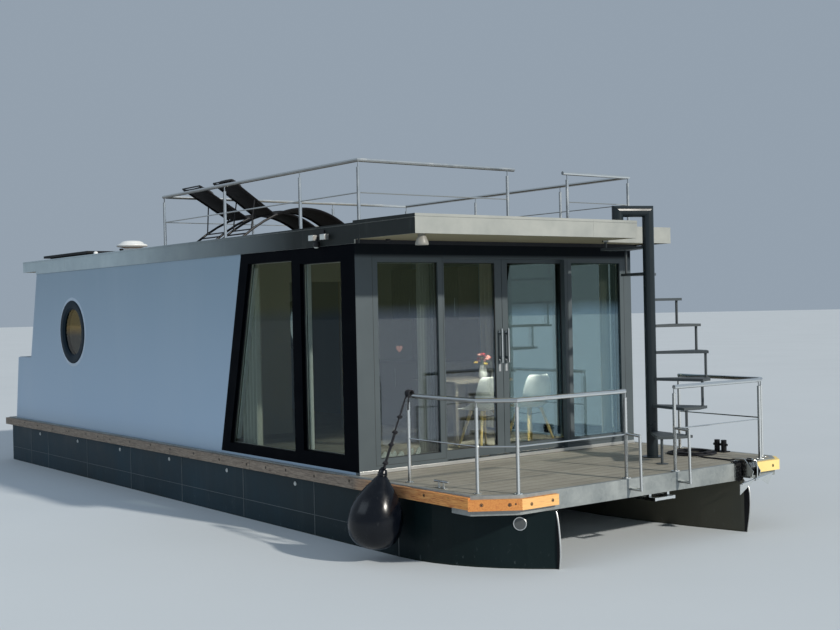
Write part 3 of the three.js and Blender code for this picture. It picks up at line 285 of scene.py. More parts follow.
def piece(name, form, look, body="boat", slot=None, bevel=0.0, subdivide=0, sharp=35, solid=0.0):
    """One object of the scene, with the look's material. It rides on a body."""
    mesh = bpy.data.meshes.new(name)
    mesh.from_pydata([tuple(v) for v in form.verts], [], form.faces)
    layer = mesh.uv_layers.new(name="UVMap")
    layer.data.foreach_set("uv", [x for face in form.uvs for uv in face for x in uv])
    made = placed(name, mesh)
    soften(made, sharp, bevel, 35)
    mesh.validate()
    mesh.materials.append(LOOKS[look])
    if solid:
        thick = made.modifiers.new("thick", "SOLIDIFY")
        thick.thickness, thick.offset = solid, 0
    if subdivide:
        fine = made.modifiers.new("fine", "SUBSURF")
        fine.levels = fine.render_levels = subdivide
    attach(made, body)
    slot = slot or SLOT_OF.get(look)
    return made


# Materials

class Look:
    """A procedural material. Its textures are measured in metres on the object's own frame."""

    def __init__(self, name):
        self.mat = bpy.data.materials.new(name)
        self.mat.use_nodes = True
        self.tree = self.mat.node_tree
        coords = self.node("TexCoord").outputs
        self.place, self.uv = coords["Object"], coords["UV"]
        self.x, self.y, self.z = self.node("SeparateXYZ", {"Vector": self.place}).outputs
        # How far the surface faces ahead, to port and up.
        self.ahead, self.port, self.up = self.node("SeparateXYZ", {"Vector": coords["Normal"]}).outputs

    def wire(self, socket, value):
        if isinstance(value, bpy.types.NodeSocket):
            self.tree.links.new(value, socket)
        else:
            socket.default_value = value

    def node(self, kind, inputs=None, **settings):
        made = self.tree.nodes.new("ShaderNode" + kind)
        for key, value in settings.items():
            setattr(made, key, value)
        for key, value in (inputs or {}).items():
            self.wire(made.inputs[key], value)
        return made

    def scaled(self, along):
        return self.node("Mapping", {"Vector": self.place, "Scale": along}).outputs[0]

    def noise(self, scale, detail=4.0, rough=0.55, along=(1, 1, 1), distort=0.0):
        return self.node("TexNoise", {"Vector": self.scaled(along), "Scale": scale, "Detail": detail,
                                      "Roughness": rough, "Distortion": distort}).outputs[0]

    def bands(self, scale, direction):
        return self.node("TexWave", {"Vector": self.place, "Scale": scale}, wave_type="BANDS",
                         bands_direction=direction).outputs["Fac"]

    def span(self, value, low, high, to_low=0.0, to_high=1.0):
        return self.node("MapRange", {"Value": value, "From Min": low, "From Max": high,
                                      "To Min": to_low, "To Max": to_high}).outputs[0]

    def calc(self, kind, a, b=0.0):
        return self.node("Math", {0: a, 1: b}, operation=kind).outputs[0]

    def times(self, a, b):
        return self.calc("MULTIPLY", a, b)

    def plus(self, a, b):
        return self.calc("ADD", a, b)

    def rest(self, a):
        """What a leaves of 1."""
        return self.calc("SUBTRACT", 1.0, a)

    def size(self, a):
        return self.calc("ABSOLUTE", a)

    def joints(self, value, pitch, low, high):
        """1 on lines at an even pitch and 0 between them. low and high are shares of the pitch."""
        share = self.calc("FRACT", self.calc("DIVIDE", value, pitch))
        return self.span(self.size(self.calc("SUBTRACT", share, 0.5)), low, high)

    def mix(self, share, a, b):
        colours = [(*v, 1) if isinstance(v, tuple) else v for v in (a, b)]
        return self.node("Mix", {0: share, 6: colours[0], 7: colours[1]}, data_type="RGBA").outputs[2]

    def coats(self, base, *layers):
        """Colours laid over a base one after another, each with the share of the surface that it takes."""
        for share, colour in layers:
            base = self.mix(share, base, colour)
        return base

    def bump(self, height, distance, strength, under=None):
        made = self.node("Bump", {"Height": height, "Distance": distance, "Strength": strength})
        if under:
            self.wire(made.inputs["Normal"], under)
        return made.outputs[0]

    def done(self, colour, rough, normal=None, **others):
        """The finished material. The others are its sockets, with underscores for spaces."""
        shader = self.tree.nodes["Principled BSDF"]
        values = {"Base Color": colour, "Roughness": rough, **others}
        if normal:
            values["Normal"] = normal
        for socket, value in values.items():
            self.wire(shader.inputs[socket.replace("_", " ")], value)
        return self.mat


def shade(colour, factor, lift=0.0):
    return tuple(min(1.0, c * factor + lift) for c in colour)


def steel_hull():
    """Dark satin paint on steel, chalky in streaks and splashed above the waterline. Towards the bow it takes
    painted shade on the starboard nose and a painted brownish reflection on the port nose.
    """
    k = Look("hull_steel")
    cloud = k.noise(1.1, 6, 0.62)
    # bow: painted shade for the starboard nose, and a paler, brownish painted reflection for the port nose
    bow = k.mix(k.span(k.y, 0.2, 0.8), (0.003, 0.008, 0.007), (0.110, 0.102, 0.074))
    spray = k.times(k.span(k.noise(26, 3, 0.7, along=(1, 1, 0.45)), 0.62, 0.72), k.span(k.z, 0.80, 0.50))
    colour = k.coats(
        k.mix(k.span(cloud, 0.34, 0.68), (0.009, 0.022, 0.030), (0.026, 0.050, 0.066)),
        (k.span(k.noise(5.0, 4, 0.6, along=(1, 1, 0.12)), 0.55, 0.78, 0, 0.3), (0.075, 0.100, 0.112)),
        # the painted nose light, laid on more strongly towards the bow
        (k.span(k.x, 1.2, 5.4, 0, 0.8), bow),
        (k.times(spray, 0.22), (0.22, 0.26, 0.27)),
        (k.span(k.plus(k.z, k.times(cloud, 0.05)), 0.545, 0.505), (0.022, 0.030, 0.020)))
    return k.done(colour, k.span(cloud, 0.3, 0.7, 0.34, 0.62),
                  k.bump(k.noise(70, 3, 0.6), 0.0006, 0.5, k.bump(k.noise(1.6, 2), 0.012, 0.6)),
                  Specular_IOR_Level=0.14)


def galvanised(name, pale, dark, spangle=38.0, metal=0.45):
    """Zinc-coated steel: a faint crystal pattern, matt patches and pale run marks."""
    k = Look(name)
    crystal = k.node("TexVoronoi", {"Vector": k.place, "Scale": spangle}).outputs["Color"]
    tone = k.node("SeparateXYZ", {"Vector": crystal}).outputs[0]
    patch = k.noise(3.2, 5, 0.6)
    run = k.noise(9, 4, 0.6, along=(1, 1, 0.15))
    colour = k.coats(k.mix(k.span(patch, 0.32, 0.7), dark, pale),
                     (k.times(tone, 0.16), shade(pale, 1.5)),
                     (k.span(run, 0.6, 0.78, 0, 0.4), shade(pale, 1.35)))
    return k.done(colour, k.plus(k.span(patch, 0.3, 0.7, 0.42, 0.62), k.times(tone, 0.06)),
                  k.bump(patch, 0.002, 0.4, k.bump(tone, 0.0002, 0.3)), Metallic=metal)


def edge_sheet():
    """The roof's edge: folded zinc, pale across the bow. Its sides take painted shade: a duller,
    bluer tone that darkens towards the bow."""
    k = Look("roof_edge_sheet")
    patch = k.noise(3.2, 5, 0.6)
    share = k.span(patch, 0.32, 0.7)
    run = k.noise(9, 4, 0.6, along=(1, 1, 0.15))
    # painted shade on the sides: a bluer tone, darker towards the bow
    painted_side_shade = k.coats(k.mix(share, (0.375, 0.445, 0.475), (0.465, 0.540, 0.560)),
                   (k.span(k.x, -1.6, 3.1), (0.018, 0.022, 0.021)))
    colour = k.coats(k.mix(share, (0.335, 0.350, 0.330), (0.420, 0.430, 0.400)),
                     (k.span(k.size(k.port), 0.6, 0.8), painted_side_shade),
                     (k.span(run, 0.6, 0.8, 0, 0.05), (0.62, 0.62, 0.58)))
    return k.done(colour, k.span(patch, 0.3, 0.7, 0.5, 0.66),
                  k.bump(patch, 0.002, 0.3, k.bump(k.noise(300, 2), 0.0001, 0.3)),
                  Metallic=0.1, Specular_IOR_Level=0.2)


def decking(name, tint=(1, 1, 1), width=0.14):
    """Grey-brown ribbed boards that run across the boat, with dark joints."""
    k = Look(name)
    board = k.calc("FLOOR", k.calc("DIVIDE", k.x, width))
    tone = k.node("TexWhiteNoise", {"W": board}, noise_dimensions="1D").outputs["Value"]
    grain = k.noise(14, 5, 0.65, along=(7, 0.35, 1))
    pale = tuple(a * b for a, b in zip((0.440, 0.415, 0.345), tint))
    deep = tuple(a * b for a, b in zip((0.250, 0.228, 0.185), tint))
    joint = k.joints(k.x, width, 0.470, 0.488)
    rib = k.bands(22.0, "X")
    colour = k.coats(k.mix(k.span(grain, 0.3, 0.7), deep, pale),
                     (k.times(tone, 0.35), shade(deep, 0.7)),
                     (k.span(k.noise(1.7, 4, 0.6), 0.45, 0.75, 0, 0.4), shade(pale, 1.15)),
                     (k.times(k.span(rib, 0.0, 0.35, 1, 0), 0.28), shade(deep, 0.5)),
                     (k.times(joint, 0.85), (0.018, 0.015, 0.012)))
    height = k.calc("SUBTRACT", k.times(rib, 0.35), joint)
    return k.done(colour, k.span(grain, 0.3, 0.7, 0.62, 0.85),
                  k.bump(height, 0.003, 0.8, k.bump(grain, 0.0008, 0.5)))


def softwood(name, fresh_from, fresh_to):
    """Sawn planks, greyed aft and still orange at the bow, given in metres along the boat. The orange has
    painted sunlight on faces ahead and to port, and painted shade on slanted faces.
    """
    k = Look(name)
    lengthwise, crosswise = (k.noise(16, 6, 0.62, along=along, distort=0.6)
                             for along in ((0.6, 9, 9), (9, 0.6, 9)))
    across = k.span(k.size(k.ahead), 0.8, 0.9)
    grain = k.plus(k.times(crosswise, across), k.times(lengthwise, k.rest(across)))
    share = k.span(grain, 0.32, 0.68)
    fresh = k.span(k.plus(k.x, k.times(k.noise(1.5, 4, 0.6), 1.2)), fresh_from, fresh_to)
    aged = k.mix(share, (0.120, 0.086, 0.062), (0.37, 0.30, 0.235))
    # painted shade on faces that slant between ahead and the side
    painted_slant_shade = k.times(k.span(k.ahead, 0.6, 0.7), k.span(k.ahead, 0.97, 0.90, 0, 0.2))
    orange = k.coats(k.mix(share, (0.52, 0.150, 0.030), (0.93, 0.45, 0.125)),
                     (k.span(grain, 0.44, 0.36, 0, 0.75), (0.40, 0.085, 0.022)),
                     # painted sunlight on faces that look ahead
                     (k.span(k.ahead, 0.90, 0.97, 0, 0.55), (1.0, 0.64, 0.26)),
                     (painted_slant_shade, (0.30, 0.07, 0.02)),
                     # painted sunlight on the port side
                     (k.span(k.y, 1.4, 1.7, 0, 0.8), (1.0, 0.80, 0.30)))
    branch = k.node("TexVoronoi", {"Vector": k.scaled((1.3, 1.3, 5)), "Scale": 2.6}).outputs["Distance"]
    grime = k.times(k.span(k.noise(3.3, 5, 0.7), 0.55, 0.72, 0, 0.5), k.rest(fresh))
    colour = k.coats(aged, (fresh, orange),
                     (k.span(branch, 0.10, 0.05, 0, 0.8), (0.07, 0.035, 0.018)),
                     (grime, (0.13, 0.085, 0.055)))
    return k.done(colour, k.span(grain, 0.3, 0.7, 0.6, 0.85), k.bump(grain, 0.0015, 0.6))


def wall_panel():
    """Smooth lacquered cladding with the faintest waves and rain marks, and painted shade towards the roof.
    """
    k = Look("wall_cladding")
    cloud = k.noise(0.7, 4, 0.5)
    colour = k.coats(k.mix(cloud, (0.320, 0.445, 0.585), (0.350, 0.475, 0.615)),
                     # painted shade: darker towards the roof
                     (k.span(k.z, 1.5, 3.3, 0, 0.8), (0.215, 0.300, 0.370)),
                     (k.span(k.noise(2.2, 3, 0.5, along=(1, 1, 0.12)), 0.45, 0.8, 0, 0.10),
                      (0.46, 0.53, 0.58)),
                     (k.span(k.z, 1.40, 1.18, 0, 0.18), (0.16, 0.19, 0.21)))
    return k.done(colour, k.span(cloud, 0.3, 0.7, 0.28, 0.38),
                  k.bump(k.noise(260, 2), 0.00004, 0.2, k.bump(k.noise(0.9, 2), 0.004, 0.3)))


def powder(name, base, rough=0.48, dust=0.12, shine=0.4, head=0.0):
    """Powder coating with a fine orange-peel skin, dusty and rubbed in places. head paints shade
    under the roof: near black and less shiny high up."""
    k = Look(name)
    cloud = k.noise(2.4, 5, 0.6)
    pale = shade(base, 1.8, 0.012)
    # painted shade under the roof, as strong as head; it also takes away shine
    high = k.span(k.z, 3.300, 3.345, 0, head)
    colour = k.coats(base, (k.span(cloud, 0.35, 0.75, 0, dust), pale),
                     (k.span(k.noise(140, 2, 0.6), 0.68, 0.78, 0, 0.25), pale),
                     (high, (0.006, 0.008, 0.011)))
    return k.done(colour, k.span(cloud, 0.3, 0.7, rough - 0.07, rough + 0.09),
                  k.bump(k.noise(420, 2), 0.00015, 0.5),
                  Specular_IOR_Level=k.times(k.rest(high), shine) if head else shine)


def pane(name, low, high, least, gain, line=2.78):
    """Clear double glazing, mirror-like at a slant, with a painted reflection: paler below a line, olive
    above it.
    """
    k = Look(name)
    k.tree.nodes.remove(k.tree.nodes["Principled BSDF"])
    clear = k.node("BsdfTransparent", {"Color": (0.76, 0.80, 0.78, 1)}).outputs[0]
    edge = k.plus(k.z, k.times(k.noise(1.1, 5, 0.7), 0.16))
    # painted reflection: one colour below the line and another above it
    painted_reflection = k.mix(k.span(edge, line, line + 0.14), low, high)
    smear = k.span(k.noise(2.2, 4, 0.6), 0.4, 0.8, 0.01, 0.05)
    shine = k.node("BsdfGlossy", {"Color": painted_reflection, "Roughness": smear}).outputs[0]
    facing = k.node("LayerWeight", {"Blend": 0.5}).outputs["Facing"]
    slant = k.plus(0.04, k.times(0.96, k.calc("POWER", facing, 5.0)))
    share = k.calc("MINIMUM", k.plus(k.times(slant, gain), least), 0.95)
    both = k.node("MixShader", {0: share, 1: clear, 2: shine}).outputs[0]
    k.wire(k.tree.nodes["Material Output"].inputs["Surface"], both)
    return k.mat


def polished(name, base, rough=0.17, painted_side_shade=0.22):
    """Polished tube with a painted highlight above and ahead, painted shade on its other sides, and matt
    marks.
    """
    k = Look(name)
    mark = k.noise(7, 4, 0.65)
    # painted highlight on faces that look up or ahead; the other faces take painted shade
    painted_lit_side = k.calc("MAXIMUM", k.span(k.up, -0.1, 0.65), k.span(k.ahead, 0.45, 0.9))
    colour = k.coats(shade(base, painted_side_shade), (painted_lit_side, base), (k.span(mark, 0.45, 0.75, 0, 0.3), shade(base, 0.6)))
    return k.done(colour, k.span(mark, 0.4, 0.75, rough, rough + 0.12),
                  k.bump(k.noise(60, 2, 0.5), 0.00002, 0.2), Metallic=1.0)


def woven(name, warp, weft, thread=0.0018):
    """A plain weave, measured by its thread."""
    k = Look(name)
    cross = k.times(*(k.bands(1 / (thread * math.pi), direction) for direction in ("X", "DIAGONAL")))
    colour = k.coats(k.mix(k.span(cross, 0.1, 0.8), warp, weft),
                     (k.span(k.noise(5, 4, 0.6), 0.5, 0.8, 0, 0.35), shade(weft, 1.8, 0.006)))
    return k.done(colour, 0.8, k.bump(cross, thread * 0.4, 0.7), Sheen_Weight=0.04,
                  Specular_IOR_Level=0.15)


def plastic(name, base, rough, grime=(0.3, 0.28, 0.22), amount=0.3):
    """Moulded plastic with weather dirt."""
    k = Look(name)
    dirt = k.noise(6, 5, 0.65)
    return k.done(k.mix(k.span(dirt, 0.5, 0.8, 0, amount), base, grime),
                  k.span(dirt, 0.4, 0.8, rough, rough + 0.25), k.bump(k.noise(180, 2), 0.0001, 0.4))


CELL = 0.156


def solar_face():
    """Dark square cells with thin pale grid lines, in a black frame."""
    k = Look("solar_face")
    gap = k.calc("MAXIMUM", *(k.joints(v, CELL, 0.478, 0.490) for v in (k.x, k.y)))
    cells = k.coats(k.mix(k.span(k.noise(9, 3, 0.6), 0.3, 0.7), (0.006, 0.009, 0.022), (0.012, 0.018, 0.040)),
                    (k.span(k.bands(24.0, "Y"), 0.96, 1.0, 0, 0.4), (0.25, 0.27, 0.30)),
                    (k.times(gap, 0.7), (0.16, 0.17, 0.18)))
    return k.done(k.mix(k.span(k.up, 0.8, 0.9), (0.012, 0.013, 0.015), cells),
                  k.span(k.noise(4, 4, 0.6), 0.3, 0.8, 0.46, 0.54), Specular_IOR_Level=0.12)


def braid(name, dark, pale, lay=0.030, strands=5.0):
    """Braided rope. It is wound round the tube by the piece's own lengthwise coordinate."""
    k = Look(name)
    u, v = k.node("SeparateXYZ", {"Vector": k.uv}).outputs[:2]
    along = k.times(k.times(u, 2 * math.pi / lay), 2.0)
    turn = k.times(v, 2 * math.pi * strands)
    left, right = (k.calc("SINE", k.calc(way, along, turn)) for way in ("ADD", "SUBTRACT"))
    weave = k.span(k.times(left, right), -1, 1)
    return k.done(k.mix(weave, dark, pale), 0.75, k.bump(weave, 0.002, 0.8))


def vinyl():
    """Glossy black fender skin, scuffed and dusty."""
    k = Look("fender_skin")
    scuff = k.noise(5, 5, 0.7)
    fine = k.noise(40, 4, 0.7, along=(1, 1, 0.3))
    colour = k.coats(k.mix(k.span(scuff, 0.45, 0.8, 0, 0.5), (0.002, 0.003, 0.006), (0.014, 0.017, 0.022)),
                     (k.span(fine, 0.62, 0.75, 0, 0.3), (0.06, 0.064, 0.068)))
    return k.done(colour, k.span(scuff, 0.35, 0.8, 0.16, 0.36),
                  k.bump(scuff, 0.004, 0.3, k.bump(fine, 0.0006, 0.3)),
                  Specular_IOR_Level=0.3, Coat_Weight=0.05)


SHEET_WIDTH = 1.05


def roof_skin():
    """A warm beige lining below, grey weathered membrane in lapped sheets on top, and upright faces painted
    near black as shade.
    """
    k = Look("roof_skin")
    cloud = k.noise(1.3, 5, 0.6)
    lining = k.mix(cloud, (0.30, 0.265, 0.16), (0.36, 0.315, 0.20))
    seam = k.joints(k.x, SHEET_WIDTH, 0.486, 0.495)
    sheet = k.coats(k.mix(k.span(cloud, 0.3, 0.7), (0.20, 0.21, 0.21), (0.33, 0.34, 0.335)),
                    (k.times(seam, 0.6), (0.09, 0.09, 0.09)),
                    (k.span(k.noise(2.3, 5, 0.7), 0.55, 0.75, 0, 0.6), (0.13, 0.13, 0.12)))
    colour = k.coats(lining, (k.span(k.up, 0.5, 0.6), sheet),
                     # painted shade: upright faces turn near black
                     (k.span(k.size(k.up), 0.5, 0.4), (0.012, 0.014, 0.020)))
    return k.done(colour, k.span(cloud, 0.3, 0.7, 0.6, 0.85),
                  k.bump(k.noise(90, 3), 0.0008, 0.4, k.bump(seam, 0.002, 0.6)))


def timber_fine(name, pale, deep):
    """Planed furniture wood with long grain."""
    k = Look(name)
    grain = k.noise(24, 6, 0.6, along=(1.0, 6, 0.5), distort=0.4)
    return k.done(k.mix(k.span(grain, 0.3, 0.7), deep, pale), k.span(grain, 0.3, 0.7, 0.45, 0.60),
                  k.bump(grain, 0.0003, 0.4))


def interior_joinery():
    """A pale partition, lacquered cupboard fronts, and a stone worktop."""
    k = Look("joinery")
    cloud = k.noise(3, 4, 0.6)
    grain = k.noise(18, 5, 0.6, along=(4, 4, 0.4))
    wall = k.mix(cloud, (0.34, 0.33, 0.27), (0.42, 0.405, 0.34))
    front = k.mix(k.span(grain, 0.3, 0.7), (0.13, 0.115, 0.085), (0.20, 0.18, 0.14))
    stone = k.mix(k.span(k.noise(120, 3, 0.7), 0.45, 0.6), (0.05, 0.05, 0.05), (0.16, 0.155, 0.15))
    galley = k.span(k.x, 0.0445, 0.0455)
    colour = k.coats(wall, (galley, front), (k.times(k.span(k.up, 0.5, 0.6), galley), stone))
    return k.done(colour, k.span(cloud, 0.3, 0.7, 0.35, 0.5), k.bump(grain, 0.0002, 0.3))


def cloth(name, pale, deep):
    """Loose curtain cloth with a fine thread."""
    k = Look(name)
    thread = k.noise(300, 2, 0.6, along=(1, 1, 0.1))
    return k.done(k.mix(k.span(thread, 0.3, 0.7), deep, pale), 0.9, k.bump(thread, 0.0004, 0.5),
                  Sheen_Weight=0.3)


def bloom(name, inner, outer):
    """Petals that darken towards their folds."""
    k = Look(name)
    fold = k.noise(60, 3, 0.6)
    return k.done(k.mix(k.span(fold, 0.35, 0.65), inner, outer), 0.6, k.bump(fold, 0.003, 0.7),
                  Subsurface_Weight=0.1)


def ground():
    """A plain pale studio floor."""
    k = Look("studio_floor")
    return k.done(k.mix(k.noise(0.35, 3, 0.5), (0.60, 0.64, 0.67), (0.66, 0.70, 0.73)), 0.85)


LOOKS = {
    "hull": steel_hull(),
    "zinc": galvanised("zinc", (0.36, 0.385, 0.38), (0.235, 0.26, 0.262)),
    "edge": edge_sheet(),
    "trim": plastic("porthole_trim", (0.44, 0.53, 0.63), 0.35),
    "ring": powder("porthole_coat", (0.006, 0.016, 0.026), 0.5, 0.04, 0.12),
    "deck": decking("deck_planks"),
    "terrace": decking("terrace_planks", (0.92, 0.92, 0.94), 0.12),
    "timber": softwood("rail_timber", 4.9, 6.3),
    "panel": wall_panel(),
    # The front frame and doors take painted shade under the roof through head.
    "anthracite": powder("anthracite_coat", (0.074, 0.093, 0.102), head=0.95),
    "column": powder("column_coat", (0.010, 0.017, 0.021), 0.32, 0.05),
    "tread": powder("tread_coat", (0.055, 0.066, 0.072), 0.5, 0.2),
    "navy": powder("navy_coat", (0.0004, 0.0012, 0.0030), 0.6, 0.01, 0.03),
    # Each glazing's two colours are its painted reflection below and above a line.
    "glass": pane("glazing_side", (0.31, 0.36, 0.40), (0.46, 0.45, 0.24), 0.01, 1.0),
    "glass_front": pane("glazing_front", (0.62, 0.66, 0.74), (0.17, 0.18, 0.10), 0.10, 1.8),
    "glass_port": pane("glazing_port", (0.50, 0.70, 0.80), (0.085, 0.115, 0.085), 0.21, 1.8),
    "glass_round": pane("glazing_porthole", (0.34, 0.32, 0.30), (0.80, 0.56, 0.26), 0.06, 1.2, line=2.56),
    "steel": polished("polished_steel", (0.93, 0.94, 0.92)),
    "black": powder("black_coat", (0.008, 0.008, 0.010), 0.42, 0.06, 0.3),
    "sling": woven("sling_mesh", (0.002, 0.002, 0.003), (0.009, 0.009, 0.011)),
    "pad": woven("pad_cloth", (0.003, 0.003, 0.004), (0.012, 0.012, 0.014), 0.0012),
    "piping": plastic("pad_piping", (0.10, 0.105, 0.11), 0.6),
    "white": plastic("white_moulding", (0.78, 0.79, 0.78), 0.28),
    "cells": solar_face(),
    "vinyl": vinyl(),
    "rope": braid("black_rope", (0.003, 0.003, 0.005), (0.020, 0.020, 0.026)),
    "roof": roof_skin(),
    "joinery": interior_joinery(),
    "table": timber_fine("table_top", (0.24, 0.21, 0.17), (0.16, 0.135, 0.105)),
    "leg_wood": timber_fine("chair_leg_wood", (0.95, 0.74, 0.34), (0.78, 0.54, 0.18)),
    "curtain": cloth("curtain_cloth", (0.62, 0.61, 0.54), (0.46, 0.45, 0.39)),
    "rubber": plastic("gasket_rubber", (0.012, 0.012, 0.013), 0.6, (0.05, 0.05, 0.05), 0.2),
    "spacer": polished("glazing_spacer", (0.80, 0.80, 0.78), 0.35, 0.9),
    "bolt": polished("bolt_head", (0.10, 0.085, 0.07), 0.5, 0.8),
    "plug": plastic("hull_plug", (0.48, 0.50, 0.49), 0.4),
    "bell": plastic("lamp_bell", (0.27, 0.26, 0.23), 0.4, (0.12, 0.11, 0.09), 0.5),
    "brown": plastic("vent_underside", (0.22, 0.13, 0.07), 0.5, (0.08, 0.05, 0.03), 0.5),
    "lens": plastic("lamp_lens", (0.62, 0.64, 0.60), 0.12),
    "weld": galvanised("weld_bead", (0.16, 0.18, 0.185), (0.085, 0.10, 0.105), 60.0, 0.3),
    "disc": plastic("marker_face", (0.085, 0.095, 0.100), 0.4),
    "red": bloom("red_petals", (0.35, 0.01, 0.015), (0.75, 0.05, 0.05)),
    "pink": bloom("pink_petals", (0.80, 0.20, 0.16), (0.95, 0.48, 0.40)),
    "yellow": bloom("yellow_petals", (0.70, 0.38, 0.03), (0.85, 0.62, 0.12)),
    "leaf": bloom("leaves", (0.03, 0.09, 0.02), (0.09, 0.20, 0.05)),
    "stone": plastic("pale_shells", (0.88, 0.88, 0.84), 0.6),
}

# Slots, each with the looks listed under it.
SLOT_LOOKS = {
    "hull_paint": "weld plug disc",
    "timber": "bolt",
    "wall_panel": "trim",
    "window_frame": "rubber ring navy",
    "window_glass": "glass_round lens",
    "roof_edge": "edge",
    "stainless": "steel spacer",
    "black_metal": "black",
    "white_plastic": "white bell brown",
    "sling_fabric": "sling pad piping",
    "fender_vinyl": "vinyl",
    "rope": "rope",
    "furniture": "leg_wood stone red pink yellow leaf",
}
SLOT_OF = {look: slot for slot, looks in SLOT_LOOKS.items() for look in looks.split()}

NODE_LOOKS = {
    "hull": "pontoon_starboard pontoon_port",
    "zinc": "deck_frame outboard_bracket",
    "edge": "roof_fascia",
    "deck": "deck_planking",
    "terrace": "terrace_boards",
    "timber": "rub_rail",
    "panel": "wall_starboard wall_port aft_wall",
    "navy": "side_window_frame_starboard side_window_frame_port",
    "glass": "side_glass_starboard side_glass_port",
    "glass_front": "front_pane_starboard door_glass_starboard",
    "glass_port": "front_pane_port door_glass_port",
    "anthracite": "front_frame door_track_frame door_leaf_starboard door_leaf_port aft_door",
    "column": "stair_column",
    "tread": "stair_treads",
    "roof": "roof",
    "steel": "terrace_rail_starboard terrace_rail_aft terrace_rail_port bow_rail_starboard bow_rail_port "
             "bow_cleat bow_roller anchor boarding_ladder stern_rail_starboard stern_rail_port",
    "black": "lounger_frame_aft lounger_frame_fore bow_bollard bow_thruster_propeller outboard_swivel "
             "outboard_motor outboard_propeller",
    "white": "fascia_spotlight roof_vent",
    "cells": "solar_panel",
    "joinery": "saloon_joinery",
    "table": "dining_table",
}
# Nodes whose edges are rounded a little, by metres.
NODE_BEVELS = {
    0.003: "deck_frame roof_fascia front_frame door_leaf_starboard door_leaf_port aft_door dining_table "
           "side_window_frame_starboard side_window_frame_port solar_panel stair_treads",
    0.004: "terrace_boards bow_bollard",
    0.006: "rub_rail",
}


def dress_nodes():
    bevels = {name: width for width, names in NODE_BEVELS.items() for name in names.split()}
    for look, names in NODE_LOOKS.items():
        for name in names.split():
            for slot in NODES[name].material_slots:
                slot.material = LOOKS[look]
            soften(NODES[name], 35, bevels.get(name), 40)


# The anchor rope

ROPE_RADIUS = 8
ROPE_ROUTE = [  # boat millimetres, the same as the CAD rope's
    (1899, 1350, 22), (1880, 1350, 21), (1862, 1350, 17), (1846, 1351, 11.5), (1828, 1352, 8.5),
    (1800, 1354, 8.3), (1750, 1358, 8.3), (1690, 1361, 8.3), (1620, 1361, 8.3), (1550, 1359, 8.3),
]
COIL_X, COIL_Y = 1150, 1570
COIL_ENTRY, COIL_INNER, COIL_OUTER = 210, 160, 262
COIL_HIGH, COIL_LOW = 24.9, 8.3
UPPER_TURNS, DROP_TURN, LOWER_TURNS, TURN_STEPS = 3, 0.3, 6, 30


def rope_points():
    """From the shank along the deck, up over the coil's outer turns, round the upper turns
    inwards, down inside them, and round the lower turns outwards."""
    points = list(ROPE_ROUTE)
    for x in range(1525, COIL_X, -25):
        points.append((x, COIL_Y - COIL_ENTRY - (1 if x > 1400 else 0),
                       between(COIL_LOW, COIL_HIGH, smooth((1500 - x) / 190))))

    def round_coil(turn, radius, z):
        angle = -math.pi / 2 - 2 * math.pi * turn
        points.append((COIL_X + radius * math.cos(angle), COIL_Y + radius * math.sin(angle), z))

    def spiral(start, turns, first, last, z):
        for i in range(turns * TURN_STEPS + 1):
            turn = i / TURN_STEPS
            round_coil(start + turn, between(first, last, turn / turns), z)

    spiral(0, UPPER_TURNS, COIL_ENTRY, COIL_INNER, COIL_HIGH)
    for i in range(1, 10):
        round_coil(UPPER_TURNS + DROP_TURN * i / 10, COIL_INNER, between(COIL_HIGH, COIL_LOW, smooth(i / 10)))
    spiral(UPPER_TURNS + DROP_TURN, LOWER_TURNS, COIL_INNER, COIL_OUTER, COIL_LOW)
    return spots(*points)


def knot(form, centre, axis, size, thick):
    """A small overhand knot round a rope that runs along the axis."""
    turn = UP.rotation_difference(axis).to_matrix()
    ring = [centre + turn @ Vector((math.sin(t) + 2 * math.sin(2 * t), math.cos(t) - 2 * math.cos(2 * t),
                                    -math.sin(3 * t))) * (size / 3) for t in around(36)]
    return form.tube(ring, thick, 8, closed=True)


def anchor_rope():
    path = rope_points()
    rope = piece("anchor_line", Form().tube(path, ROPE_RADIUS / 1000, 12), "rope")
    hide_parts("anchor_rope", "anchor_rope_coil")
    ahead = (path[-1] - path[-2]).normalized()
    end = piece("anchor_line_knot", knot(Form(), path[-1] + UP * 0.006, ahead, 0.013, 0.0065), "rope")


# Hull and deck

RAIL_FACE = 2045
HULL_FACE = 1985
NOSE_CORNERS = (700, -HULL_FACE), (1450, -HULL_FACE), (2065, -1285)
SEAMS_X = (-9050, -8320, -6800, -5310, -3810, -2270, -780, 680)
PLUGS_X = (-8650, -7140, -5650, -4150, -2650, -1150, 350)
PLANK_JOINTS_X = (-8000, -6050, -4000, -2010, 10)
STEM_Y = 1281
STEMS = {  # the edge of each nose plate, by side, in X and Z
    -1: ((2058, -178), (2068, -200), (2080, -250), (2091, -320), (2099, -400), (2105, -490),
         (2104, -570), (2095, -648), (2080, -740), (2058, -815)),
    1: ((2058, -178), (2091, -188), (2112, -230), (2125, -290), (2128, -390), (2122, -480),
        (2110, -560), (2095, -648), (2078, -740), (2058, -815)),
}


def on_nose(x, z, lift=0):
    """A place on the starboard nose's flat facet at some X, and the facet's outward direction."""
    corners = [curve(NOSE_CORNERS, i / 7) for i in range(8)]
    p, q = next(pair for pair in zip(corners, corners[1:]) if x <= pair[1].x)
    along = (q - p).normalized()
    out = Vector((along.y, -along.x))
    return at(*(between(p, q, (x - p.x) / (q.x - p.x)) + out * lift), z), (*out, 0)


